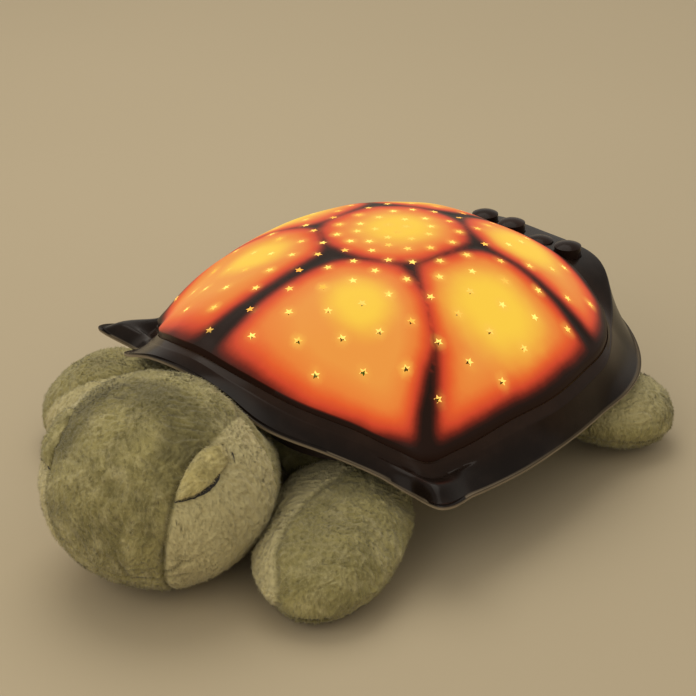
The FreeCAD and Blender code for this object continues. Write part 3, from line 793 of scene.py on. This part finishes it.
def rim_rows(angle):
    """Radius and height of each row of the rim, from the seam over the ledge to the lip and back inside."""
    wall = sizes().rim_wall
    sr, sh = seam.radius(angle), seam.height(angle)
    lr, lh = ledge_radius(angle), ledge_height(angle)
    rows = [(sr - 0.5, sh - 0.35), (sr + 0.15, sh - 0.28), (sr + 0.5, sh - 0.05)]
    for share in (0.12, 0.3, 0.5, 0.7, 0.86, 0.95):
        rows.append((sr + 0.5 + (lr - sr - 0.9) * share, sh - 0.05 + (lh - sh + 0.05) * share))
    rows.append((lr - 0.25, lh - 0.1))
    for share in (0.035, 0.07, 0.11, 0.16, 0.22, 0.28, 0.34, 0.4, 0.46, 0.52, 0.58, 0.64, 0.7, 0.76, 0.82,
                  0.88, 0.94):
        rows.append(skirt(angle, share))
    er, eh = lip.radius(angle), lip.height(angle)
    rows += [(er - 0.15, eh + 1.5), (er + 0.02, eh + 1.05), (er + 0.06, eh + 0.6), (er - 0.15, eh + 0.18),
             (er - 0.6, eh), (er - 1.2, eh), (er - 1.75, eh + 0.2), (er - wall + 0.1, eh + 0.7),
             (er - wall - 0.1, eh + 1.4)]
    for share in (0.8, 0.68, 0.5, 0.34, 0.13):
        r, h = skirt(angle, share)
        rows.append((r - wall * 0.75, h - wall * 0.75))
    rows += [(lr - wall, lh - wall), (lr - wall - 0.8, lh - wall - 0.05)]
    fr = sr - 8.0 - recess(angle)
    rows += [(fr, sh - wall), (fr, sh - 0.02)]
    rows += [(fr + 0.3, sh), (sr - 0.9, sh)]
    return rows


def ring_angles():
    half = np.unique(np.concatenate([np.arange(-90, 90.01, 1.25), np.arange(-46, -20, 0.5)]))
    return np.concatenate([half, 180 - half[-2:0:-1]])


def make_rim():
    turn = ring_angles()
    angle = np.where(turn > 90, 180 - turn, turn)
    rows = rim_rows(angle)
    t = np.radians(turn)
    points = np.concatenate([np.column_stack([r * np.cos(t), r * np.sin(t), h + 0 * r]) for r, h in rows])
    n, m = len(turn), len(rows)
    faces = []
    for j in range(m):
        for i in range(n):
            a, b = j * n + i, j * n + (i + 1) % n
            c, d = ((j + 1) % m) * n + (i + 1) % n, ((j + 1) % m) * n + i
            faces.append((a, d, c, b))
    piece = object_from("rim", points, faces)
    face_outward(piece)
    cutters = []
    for name in ("amber", "blue", "power", "green"):
        low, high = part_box("button_" + name)
        place = ((low[0] + high[0]) / 2, (low[1] + high[1]) / 2, high[2] - 5 * MM)
        bpy.ops.mesh.primitive_cylinder_add(vertices=72, radius=KEY_HOLE_RADIUS * MM,
                                            depth=KEY_HOLE_DEPTH * MM, location=place)
        cutters.append(bpy.context.object)
    for cutter in cutters:
        change = piece.modifiers.new("key_hole", "BOOLEAN")
        change.object = cutter
        change.operation = "DIFFERENCE"
        change.solver = "EXACT"
    baked(piece)
    for cutter in cutters:
        bpy.data.objects.remove(cutter)
    set_material(piece, glossy_brown("rim_gloss"))
    shade_smooth(piece)
    x, y, z = vertex_array(piece.data).T
    at, out = folded(x, y), np.hypot(x, y)
    on_lip = out - lip.radius(at) > -1.3
    # Painted highlight along the lip's edge, where its thin edge catches the light
    put_attribute(piece.data, "worn_edge", np.exp(-((z - lip.height(at)) / 1.25) ** 4) * on_lip)
    # Painted reflection of the dome's glow, fading away from the joint
    put_attribute(piece.data, "lit_ledge", np.exp(-((out - seam.radius(at)) / 5.5) ** 2))
    sharpen(piece, math.cos(math.radians(38)))
    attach(piece, "housing")
    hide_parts("rim_skirt")
    return piece


# Plush


HEAD_MIDDLE = np.array((17.3, -132.2, 39.5))
HEAD_TURN = 20.0


def head_turned(p):
    t = math.radians(HEAD_TURN)
    return np.column_stack([p[:, 0] * math.cos(t) + p[:, 1] * math.sin(t),
                            p[:, 0] * math.sin(t) - p[:, 1] * math.cos(t), p[:, 2]])


def to_head(points):
    """Places in the head's own frame: to its left, ahead and up."""
    return head_turned(points - HEAD_MIDDLE)


def from_head(points):
    return head_turned(np.asarray(points, float)) + HEAD_MIDDLE


def tree_of(piece):
    graph = bpy.context.evaluated_depsgraph_get()
    return BVHTree.FromObject(piece, graph)


def blown_up(name, node, voxel, levels, swell, proud):
    """A stuffed piece: the CAD form remeshed, blown up as cloth, capped and made fine."""
    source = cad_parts[node]
    piece = link(bpy.data.objects.new(name, source.data.copy()))
    remesh = piece.modifiers.new("even_mesh", "REMESH")
    remesh.mode = "VOXEL"
    remesh.voxel_size = voxel * MM
    baked(piece)
    relax = piece.modifiers.new("relax", "SMOOTH")
    relax.factor = 0.5
    relax.iterations = 4
    mesh = baked(piece)
    put_vertices(mesh, vertex_array(mesh) - normal_array(mesh) * swell)
    start, outward = vertex_array(mesh), normal_array(mesh)
    cloth = piece.modifiers.new("stuffing", "CLOTH")
    cloth.settings.use_pressure = True
    cloth.settings.uniform_pressure_force = 4.0
    cloth.settings.effector_weights.gravity = 0.0
    cloth.settings.quality = 5
    cloth.settings.mass = 0.15
    scene = bpy.context.scene
    scene.frame_start, scene.frame_end = 1, CLOTH_FRAMES
    for number in range(1, CLOTH_FRAMES + 1):
        scene.frame_set(number)
    mesh = baked(piece)
    scene.frame_set(1)
    moved = vertex_array(mesh) - start
    gained = np.mean(np.sum(moved * outward, axis=1))
    moved += outward * (swell - gained)
    length = np.linalg.norm(moved, axis=1)
    cap = swell + proud
    moved *= (np.minimum(length, cap) / np.maximum(length, 1e-6))[:, None]
    put_vertices(mesh, start + moved)
    subdivided(piece, levels)
    hold_inside(piece, source, proud)
    return piece


def hold_inside(piece, source, proud):
    """Keeps a stuffed piece near its CAD form and off the shell."""
    tree = tree_of(source)
    points = vertex_array(piece.data)
    for i, allowed in enumerate(proud * shell_room(points)):
        place, normal, _, _ = tree.find_nearest(Vector(points[i]) * MM)
        place = place / MM
        if (Vector(points[i]) - place).dot(normal) > allowed:
            points[i] = place + normal * float(allowed)
    put_vertices(piece.data, points)


def shell_room(points):
    """0 at the rim and its inside, 1 well clear of it."""
    x, y, z = points.T
    angle = folded(x, y)
    outward = np.hypot(x, y) - lip.radius(angle)
    return rise(np.maximum(outward, lip.height(angle) - z), *RIM_CLEARANCE)


def press(piece, depth, marks):
    """Moves each vertex in by depth, adds lumps of stuffing and of pile, and writes the pile's marks."""
    mesh = piece.data
    points, normals = vertex_array(mesh), normal_array(mesh)
    lumps = np.array([noise.noise(Vector(p) / 15.0) * 0.9
                      + noise.noise(Vector(p) / 5.0 + Vector((9, 0, 0))) * 0.35 for p in points])
    swirl = np.array([noise.noise_vector(Vector(p) / 17.0) for p in points])
    combed = (points + swirl * 9.0) / (1.4, 1.4, 3.2)
    tufts = np.array([noise.noise(Vector(p)) for p in combed])
    room = shell_room(points)
    move = lumps * room * 0.8 - 0.3 + tufts * 0.8 * np.maximum(room, 0.3) - depth
    points += normals * move[:, None]
    points[:, 2] = np.maximum(points[:, 2], 0.15)
    put_vertices(mesh, points)
    for name in PILE_MARKS:
        put_attribute(mesh, name, marks.get(name, np.zeros(len(points))))
    shade_smooth(piece)


def raise_pile(piece, density, lowest, seed):
    """Covers a plush piece above lowest with short closed tufts, pointed and laid over in swirls.

    Density counts tufts per square millimetre. Each tuft is four points, its tip last.
    """
    mesh = piece.data
    mesh.calc_loop_triangles()
    corners = np.empty(len(mesh.loop_triangles) * 3, dtype=np.int32)
    mesh.loop_triangles.foreach_get("vertices", corners)
    corners = corners.reshape(-1, 3)
    points, normals = vertex_array(mesh), normal_array(mesh)
    a, b, c = (points[corners[:, k]] for k in range(3))
    area = np.linalg.norm(np.cross(b - a, c - a), axis=1) / 2
    random = np.random.default_rng(seed)
    pick = random.choice(len(corners), int(area.sum() * density), p=area / area.sum())
    share = random.dirichlet((1, 1, 1), len(pick))
    root = np.einsum("nk,nkd->nd", share, points[corners[pick]])
    out = unit(np.einsum("nk,nkd->nd", share, normals[corners[pick]]))
    keep = (root[:, 2] > lowest) & (shell_room(root) > 0.25)
    root, out, pick = root[keep], out[keep], pick[keep]
    swirl = np.array([noise.noise_vector(Vector(p) / 16.0) for p in root])
    lay = swirl * 2.2 + (0.1, -0.2, -0.8) + random.normal(0, 0.35, root.shape)
    lay = unit(lay - out * np.sum(lay * out, axis=1)[:, None])
    tip = root + (out * 0.62 + lay * 0.78) * TUFT_LENGTH * random.uniform(0.6, 1.25, len(root))[:, None]
    tip[:, 2] = np.maximum(tip[:, 2], 0.2)
    half = random.uniform(0.14, 0.24, len(root))[:, None]
    side, back = np.cross(out, lay) * half, (out * 0.78 - lay * 0.62) * half * 0.7
    sunk = root - out * 0.25
    tufts = np.stack([sunk + side, sunk - side, sunk + back, tip], axis=1).reshape(-1, 3)
    count = len(root)
    first = np.arange(count)[:, None, None] * 4
    faces = (first + np.array([(0, 2, 3), (2, 1, 3), (1, 0, 3), (0, 1, 2)])).reshape(-1, 3)
    pile = object_from(piece.name + "_pile", tufts, faces)
    for name in PILE_MARKS:
        values = np.empty(len(points))
        mesh.attributes[name].data.foreach_get("value", values)
        strength = 0.35 if name == "seam" else 1.0
        put_attribute(pile.data, name, np.repeat(values[corners[pick, 0]] * strength, 4))
    # A tone of 0.4 leaves the skin's colour alone. Each tuft is darker at its root than at its tip
    put_attribute(mesh, "tone", np.full(len(points), 0.4))
    tone = random.uniform(0, 1, count)
    put_attribute(pile.data, "tone", np.column_stack([tone * 0.6, tone * 0.6, tone * 0.6, tone]).ravel())
    soft = unit(out + random.normal(0, 0.22, out.shape))
    shade_smooth(pile)
    pile.data.normals_split_custom_set_from_vertices(np.repeat(soft, 4, axis=0).tolist())
    pile.data.materials.append(piece.data.materials[0])
    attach(pile, "housing")
    return pile


def unit(vectors):
    return vectors / (np.linalg.norm(vectors, axis=1)[:, None] + 1e-9)


def finish_plush(piece, node):
    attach(piece, "housing")
    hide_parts(node)
    # Little of the belly shows, so its pile is thinner and starts higher
    density, lowest = (0.7, 9.0) if node == "plush_body" else (1.15, 1.2)
    pile = raise_pile(piece, density, lowest, sum(map(ord, node)))


def gusset_half_width(local):
    """Half width of the head's middle panel, by the angle round from the chin over the nose to the crown."""
    angle = np.degrees(np.arctan2(local[:, 2], local[:, 1]))
    return np.interp(angle, [-80, -45, -23, -12, 2, 16, 37, 61, 80, 118],
                     [12, 19, 23, 24.8, 26.4, 27.1, 27.6, 28.8, 30.2, 29.3])


# Creases and stitches on the head, in its own frame: points, depth, half width, darkness (the stitches' own
# dark with painted shade in the creases)
HEAD_CREASES = [
    ([(23.1, 36.4, -16.5), (27, 34.8, -14.7), (30.3, 33.6, -11.3), (32.4, 31.4, -11.6)], 1.2, 0.9, 0.95),
    ([(30.3, 33.6, -11.3), (28.9, 36, -8.6)], 0.8, 0.8, 0.8),
    ([(13.9, 44.4, 7.8), (17, 43.4, 7.2), (20.1, 42.2, 6.9)], 0.6, 0.8, 0.5),
    ([(8.7, 44.9, -10.9), (9.6, 43.2, -14.8), (10.1, 41.1, -18.2)], 0.8, 0.9, 0.55),
    ([(-30, 30, -12), (-18.1, 42.3, -8.9), (-7.9, 43.7, -14.1), (8.2, 40, -20.4), (22.4, 34.8, -19.4),
      (34, 24, -20)], 0.8, 1.0, 0.4),
]
# Nostril patches: middle and reach
NOSTRILS = [((6, 41.5, 18.9), 3.6), ((17, 39.5, 16.9), 5.2)]
EYE_LINE = [(28.1, 33.8, 14.6), (30.8, 31.2, 14.8), (33.3, 28.4, 14.9), (35.6, 24.3, 16.2),
            (37, 19.5, 18.2), (37.4, 16.2, 19.9)]
EYE_TICK = [(38.9, 8.3, 20.6), (38.4, 7.4, 22.4), (36.8, 6.6, 24.2)]
LID_LOWER = [(28, 34, 15.1), (30.8, 31.4, 15.5), (33.3, 28.5, 15.7), (35.6, 24.3, 17), (37.1, 19.5, 19),
             (37.9, 14.5, 21), (38.2, 10.5, 22.3)]
LID_UPPER = [(28.2, 32.6, 17.3), (28.2, 29.5, 20.8), (28.3, 25.6, 24), (28.7, 21, 26.6), (29.7, 15.5, 28.4),
             (31.6, 9.8, 28.8), (34.8, 6.4, 26.7)]
CROWN_PATCH = [(-4, 3, 39), (10, 5, 38), (20, 11, 35), (24.5, 19, 30.5), (24.5, 27, 26)]


def make_head():
    piece = blown_up("head", "plush_head", 5.0, 3, 1.8, 1.2)
    points = vertex_array(piece.data)
    local = to_head(points)
    half = gusset_half_width(local)
    beside = np.abs(local[:, 0]) - half
    front = local[:, 1] > -12
    lift = np.degrees(np.arctan2(local[:, 2], local[:, 1]))
    seam_groove = np.exp(-(beside / 0.9) ** 2) * front * (1 - 0.95 * rise(lift, 22, 40))
    depth = seam_groove * 1.0
    pale = rise(beside, 0.0, 1.5) * 0.88 * front
    dark = seam_groove * 0.55
    for line, deep, width, strength in HEAD_CREASES:
        near = np.exp(-(line_distance(local, line) / width) ** 2)
        depth += near * deep
        # The stitches' own dark, with painted shade in the creases
        dark = np.maximum(dark, near * strength)
    shade = np.zeros(len(points))
    for place, reach in NOSTRILS:
        nostril = np.linalg.norm(local - place, axis=1)
        depth += 0.35 * np.exp(-(nostril / reach) ** 4)
        shade = np.maximum(shade, 0.25 * np.exp(-(nostril / reach) ** 6))
        pale = np.maximum(pale, 0.12 * np.exp(-((nostril - reach - 0.7) / 0.8) ** 2))
    folded_side = np.abs(local) * (1, 0, 0) + local * (0, 1, 1)
    lid_edge = np.minimum(line_distance(folded_side, LID_UPPER), line_distance(folded_side, LID_LOWER))
    depth += 0.8 * np.exp(-(lid_edge / 1.4) ** 2)
    crown = line_distance(folded_side, CROWN_PATCH)
    shade = np.maximum(shade, np.exp(-(crown / 10) ** 4))
    pale *= 1 - 0.8 * np.exp(-(crown / 10) ** 4)
    press(piece, depth, {"pale": pale, "seam": dark, "shade": shade})
    set_material(piece, plush_material("head_pile"))
    finish_plush(piece, "plush_head")
    return piece


def on_surface(tree, local_points, lift):
    """Places of the head's own frame, each moved away from or to the head's middle to lift above the skin."""
    found = []
    for p in from_head(local_points):
        way = (Vector(p) - Vector(HEAD_MIDDLE)).normalized()
        far = Vector(HEAD_MIDDLE) + way * 90
        place = tree.ray_cast(far * MM, -way)[0]
        found.append(np.array(place / MM) + np.array(way) * lift)
    return np.array(found)


def resampled(line, count):
    line = np.array(line, float)
    steps = np.append(0, np.cumsum(np.linalg.norm(np.diff(line, axis=0), axis=1)))
    t = np.linspace(0, steps[-1], count)
    return np.column_stack([np.interp(t, steps, line[:, k]) for k in range(line.shape[1])])


def lid_height(v):
    """Height of the pad, 1 at most, at a share v of the way from its lower to its upper edge."""
    if v > 0.25:
        return np.clip(1 - ((v - 0.25) / 0.76) ** 4, 0, 1) ** 0.5
    return min(1.0, v / 0.10) ** 0.5


def from_middle(points):
    """The way from the head's middle to each point."""
    outward = points - HEAD_MIDDLE
    return outward / np.linalg.norm(outward, axis=1)[:, None]


def make_eyelid(tree, side):
    """A small stuffed pad whose lower edge folds over the closed eye."""
    label = "left" if side > 0 else "right"
    lower, upper = resampled(LID_LOWER, LID_COLUMNS), resampled(LID_UPPER, LID_COLUMNS)
    ends = np.clip(1 - np.abs(np.linspace(-1, 1, LID_COLUMNS)) ** 6, 0, 1) ** 0.5
    rows = []
    for v in np.linspace(0, 1, LID_ROWS):
        row = lower * (1 - v) + upper * v
        row[:, 0] *= side
        skin = on_surface(tree, row, 0.0)
        rows.append(skin + from_middle(skin) * (3.7 * ends * lid_height(v) - 0.9)[:, None])
    n = LID_COLUMNS
    faces = []
    for j in range(LID_ROWS - 1):
        for i in range(n - 1):
            a = j * n + i
            faces.append((a, a + 1, a + n + 1, a + n) if side > 0 else (a, a + n, a + n + 1, a + 1))
    piece = object_from("eyelid_pad_" + label, np.concatenate(rows), faces)
    solid = piece.modifiers.new("thickness", "SOLIDIFY")
    solid.thickness = 1.2 * MM
    solid.offset = -1
    mesh = subdivided(piece, 1)
    points, normals = vertex_array(mesh), normal_array(mesh)
    tufts = np.array([noise.noise(Vector((p[0] / 1.2, p[1] / 1.2, p[2] / 1.6))) for p in points])
    put_vertices(mesh, points + normals * (tufts * 0.3)[:, None])
    for name in PILE_MARKS:
        put_attribute(mesh, name, np.zeros(len(points)))
    shade_smooth(piece)
    if side > 0:
        pile = pile_material("lid_pile_left", (0.57, 0.48, 0.19), (0.68, 0.59, 0.29))
    else:
        pile = plush_material("lid_pile_right")
    set_material(piece, pile)
    finish_plush(piece, "eyelid_" + label)
    return piece


def make_thread(name, tree, line, side, thin, thick, material):
    """A satin-stitched black line on the head that tapers at both ends."""
    line = resampled(line, THREAD_STEPS)
    line[:, 0] *= side
    middle = on_surface(tree, line, 0.6)
    share = np.linspace(0, 1, THREAD_STEPS)
    half = thin + (thick - thin) * np.exp(-((share - 0.72) / 0.24) ** 4)
    way = np.gradient(middle, axis=0)
    way /= np.linalg.norm(way, axis=1)[:, None]
    outward = from_middle(middle)
    across = np.cross(outward, way)
    points = []
    for k in range(THREAD_SIDES):
        t = 2 * math.pi * k / THREAD_SIDES
        wide = across * (half * math.cos(t))[:, None]
        high = outward * (0.75 * np.minimum(half, 0.9) * math.sin(t))[:, None]
        points.append(middle + wide + high)
    faces = []
    for k in range(THREAD_SIDES):
        here, there = k * THREAD_STEPS, (k + 1) % THREAD_SIDES * THREAD_STEPS
        faces += [(here + i, here + i + 1, there + i + 1, there + i) for i in range(THREAD_STEPS - 1)]
    ends = [k * THREAD_STEPS for k in range(THREAD_SIDES)]
    faces += [tuple(ends), tuple(k + THREAD_STEPS - 1 for k in reversed(ends))]
    piece = object_from(name, np.concatenate(points), faces)
    face_outward(piece)
    shade_smooth(piece)
    set_material(piece, material)
    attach(piece, "housing")
    return piece


def thread_material():
    shader = Shader("eye_thread", Roughness=0.6, Sheen_Weight=0.1)
    strands = shader.noise(0.5, 2, 0.5, stretch=(1, 1, 4))
    shader.put(Base_Color=shader.mix((0.004, 0.0035, 0.003), (0.018, 0.015, 0.012), strands))
    shader.bump(strands, 0.15, 0.8)
    return shader.material


# Start, heading in degrees from -Y towards +X, and length of each flipper
FLIPPERS = {
    "flipper_front_left": ((42, -52), 34, 90),
    "flipper_front_right": ((-36, -43), -45, 90),
    "flipper_rear_left": ((43, 52), 120, 60),
    "flipper_rear_right": ((-43, 52), -120, 60),
}


def make_flipper(node):
    (x, y), heading, length = FLIPPERS[node]
    side = 1 if heading > 0 else -1
    piece = blown_up("stuffed_" + node, node, 4.5, 3, 1.5, 1.5)
    points = vertex_array(piece.data)
    t = math.radians(heading)
    ahead = (points[:, 0] - x) * math.sin(t) - (points[:, 1] - y) * math.cos(t)
    across = ((points[:, 0] - x) * math.cos(t) + (points[:, 1] - y) * math.sin(t)) * side
    z = points[:, 2]
    edge = 8.5 + 2.5 * np.sin(ahead / 17.0)
    low_seam = np.exp(-((z - edge) / 0.9) ** 2)
    if "front" in node:
        band = np.interp(ahead, [15, 25, 45, 60, 75, 90], [5, 1, -9, -13, -14, -10])
        top = z > edge + 1
        top_seam = np.exp(-((across - band) / 1.0) ** 2) * top
        pale = rise(band - across, -1, 2) * top * 0.9
    else:
        top_seam = np.zeros(len(points))
        pale = rise(z, 14, 24) * 0.6
    tip = rise(ahead, length * 0.55, length * 0.95)
    depth = low_seam * (0.6 + 0.9 * tip) + top_seam * 0.5
    dark = np.maximum(low_seam * (0.25 + 0.75 * tip), top_seam * 0.15)
    shade = 0.6 * np.exp(-((ahead - 62) ** 2 / 18 ** 2 + (across + 2) ** 2 / 12 ** 2)) * (z > 15)
    press(piece, depth, {"pale": pale, "seam": dark, "shade": shade})
    set_material(piece, plush_material("pile_" + node))
    finish_plush(piece, node)
    return piece


def make_plain_plush(name, node, voxel, levels):
    piece = blown_up(name, node, voxel, levels, 1.2, 0.6)
    press(piece, np.zeros(len(piece.data.vertices)), {})
    set_material(piece, plush_material("pile_" + name))
    finish_plush(piece, node)
    return piece


# Finishes of the nodes that stay


def finish_node(node, material):
    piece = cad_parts[node]
    set_material(piece, material)
    for slot in piece.material_slots:
        slot.material = material


class OBJECT_OT_night_light_dome(bpy.types.Operator):
    """Lit dome with its star holes"""

    bl_idname = "object.night_light_dome"
    bl_label = "Dome"

    def execute(self, context):
        make_dome()
        return {"FINISHED"}


class OBJECT_OT_night_light_rim(bpy.types.Operator):
    """Moulded rim with its ledge, horns and key holes"""

    bl_idname = "object.night_light_rim"
    bl_label = "Rim"

    def execute(self, context):
        make_rim()
        return {"FINISHED"}


class OBJECT_OT_night_light_head(bpy.types.Operator):
    """Stuffed head with its eyelids and closed eyes"""

    bl_idname = "object.night_light_head"
    bl_label = "Head"

    def execute(self, context):
        tree = tree_of(make_head())
        thread = thread_material()
        for side, label in ((1, "left"), (-1, "right")):
            make_eyelid(tree, side)
            make_thread("eye_line_" + label, tree, EYE_LINE, side, 0.3, 1.05, thread)
            make_thread("eye_tick_" + label, tree, EYE_TICK, side, 0.12, 0.26, thread)
        return {"FINISHED"}


class OBJECT_OT_night_light_flippers(bpy.types.Operator):
    """Four stuffed flippers"""

    bl_idname = "object.night_light_flippers"
    bl_label = "Flippers"

    def execute(self, context):
        for node in FLIPPERS:
            make_flipper(node)
        return {"FINISHED"}


class OBJECT_OT_night_light_body(bpy.types.Operator):
    """Stuffed belly, neck and tail"""

    bl_idname = "object.night_light_body"
    bl_label = "Body"

    def execute(self, context):
        make_plain_plush("belly", "plush_body", 4.5, 2)
        make_plain_plush("neck", "plush_neck", 4.0, 2)
        make_plain_plush("stuffed_tail", "tail", 3.0, 2)
        return {"FINISHED"}


class OBJECT_OT_night_light_finishes(bpy.types.Operator):
    """Finishes of the case, keys, boards, cells and fixings"""

    bl_idname = "object.night_light_finishes"
    bl_label = "Finishes"

    def execute(self, context):
        case = fine_plastic("case_plastic", (0.045, 0.030, 0.022))
        key = glossy_brown("key_gloss", (0.014, 0.007, 0.005))
        steel = plated_steel("plated_steel")
        board = board_material("board_green")
        black = fine_plastic("black_plastic", (0.02, 0.02, 0.02), 0.4)
        nickel = plated_steel("nickel", (0.72, 0.70, 0.66), 0.22)
        ribbon = fine_plastic("ribbon_grey", (0.42, 0.42, 0.42), 0.5)
        groups = {
            case: ("lower_case", "battery_door", "switch_board_posts", "contact_wall"),
            key: ("button_amber", "button_blue", "button_power", "button_green"),
            steel: ("case_screws", "board_screws", "door_screw"),
            board: ("main_board", "lamp_board", "switch_board"),
            black: ("timer_chip", "tact_switches"),
            nickel: ("cell_contacts", "cell_springs"),
            ribbon: ("battery_ribbon", "lamp_ribbon", "button_ribbon"),
            fine_plastic("capacitor_sleeve", (0.02, 0.03, 0.12), 0.3): ("capacitors",),
            fine_plastic("white_plastic", (0.75, 0.75, 0.7), 0.4): ("lamp_post",),
            fine_plastic("cell_sleeve", (0.09, 0.10, 0.11), 0.3): ("battery_cells",),
            lens_material("lens_amber", (0.8, 0.4, 0.05), (1.0, 0.55, 0.12)): ("led_amber",),
            lens_material("lens_blue", (0.05, 0.12, 0.7)): ("led_blue",),
            lens_material("lens_green", (0.05, 0.5, 0.12)): ("led_green",),
            tape_material("hook_tape", (0.05, 0.045, 0.03)): ("hook_pads",),
            tape_material("loop_tape", (0.10, 0.09, 0.05)): ("loop_pads",),
        }
        for material, nodes in groups.items():
            for node in nodes:
                finish_node(node, material)
        return {"FINISHED"}


class OBJECT_OT_night_light_stage(bpy.types.Operator):
    """Pale floor, soft lights and the camera"""

    bl_idname = "object.night_light_stage"
    bl_label = "Stage"

    def execute(self, context):
        make_camera()
        make_stage()
        return {"FINISHED"}


def make_camera():
    turn, tilt, roll = math.radians(47.63), math.radians(26.82), math.radians(-0.91)
    back = Vector((math.sin(turn) * math.cos(tilt), -math.cos(turn) * math.cos(tilt), math.sin(tilt)))
    right = Vector((math.cos(turn), math.sin(turn), 0))
    up = back.cross(right)
    level_right = right * math.cos(roll) + up * math.sin(roll)
    level_up = up * math.cos(roll) - right * math.sin(roll)
    place = Vector((-12.67, -6.61, 40)) * MM + back * 0.9
    camera = bpy.data.cameras.new("camera")
    camera.sensor_width = 36
    camera.lens = FOCAL_PIXELS / IMAGE_SIDE * camera.sensor_width
    camera.clip_start = 0.01
    holder = link(bpy.data.objects.new("camera", camera))
    axes = Matrix((level_right, level_up, back)).transposed().to_4x4()
    holder.matrix_world = Matrix.Translation(place) @ axes
    bpy.context.scene.camera = holder


def area_light(name, place, aim, size, power, colour):
    light = bpy.data.lights.new(name, "AREA")
    light.shape = "DISK"
    light.size = size
    light.energy = power
    light.color = colour
    holder = link(bpy.data.objects.new(name, light))
    holder.location = place
    way = Vector(aim) - Vector(place)
    holder.rotation_euler = way.to_track_quat("-Z", "Y").to_euler()


def make_stage():
    reach = 3000
    corners = [(-reach, -reach, 0), (reach, -reach, 0), (reach, reach, 0), (-reach, reach, 0)]
    floor = object_from("floor", corners, [(0, 1, 2, 3)])
    shader = Shader("floor_plain", Roughness=0.75)
    cloud = shader.noise(300, 2, 0.4)
    shader.put(Base_Color=shader.mix((0.43, 0.36, 0.235), (0.46, 0.385, 0.255), cloud))
    set_material(floor, shader.material)
    world = bpy.data.worlds.new("soft_room")
    bpy.context.scene.world = world
    world.use_nodes = True
    background = world.node_tree.nodes["Background"]
    background.inputs["Color"].default_value = (0.80, 0.74, 0.66, 1)
    background.inputs["Strength"].default_value = 0.80
    area_light("soft_top", (-0.35, 0.15, 0.95), (0, -0.03, 0.03), 0.9, 3.9, (1.0, 0.94, 0.84))
    area_light("soft_front", (0.1, -1.0, 0.55), (0, -0.08, 0.02), 1.0, 2.6, (1.0, 0.94, 0.85))
    bpy.context.scene.view_settings.view_transform = "Standard"


class VIEW3D_PT_night_light(bpy.types.Panel):
    """The pieces of the night light, in the order in which they are made"""

    bl_label = "Night light"
    bl_space_type = "VIEW_3D"
    bl_region_type = "UI"
    bl_category = "Night light"

    def draw(self, context):
        for group in (context.scene.night_light_sizes, context.scene.night_light_colours):
            for key in group.bl_rna.properties.keys():
                if key not in ("rna_type", "name"):
                    self.layout.prop(group, key)
        for operator in OPERATORS:
            self.layout.operator(operator.bl_idname)


OPERATORS = (
    OBJECT_OT_night_light_stage,
    OBJECT_OT_night_light_finishes,
    OBJECT_OT_night_light_dome,
    OBJECT_OT_night_light_rim,
    OBJECT_OT_night_light_head,
    OBJECT_OT_night_light_flippers,
    OBJECT_OT_night_light_body,
)
CLASSES = (NightLightSizes, NightLightColours) + OPERATORS + (VIEW3D_PT_night_light,)


def register():
    for kind in CLASSES:
        bpy.utils.register_class(kind)
    bpy.types.Scene.night_light_sizes = PointerProperty(type=NightLightSizes)
    bpy.types.Scene.night_light_colours = PointerProperty(type=NightLightColours)


def unregister():
    del bpy.types.Scene.night_light_colours
    del bpy.types.Scene.night_light_sizes
    for kind in reversed(CLASSES):
        bpy.utils.unregister_class(kind)


def main():
    register()
    for operator in OPERATORS:
        group, name = operator.bl_idname.split(".")
        getattr(getattr(bpy.ops, group), name)()
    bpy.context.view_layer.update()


if __name__ == "__main__":
    main()
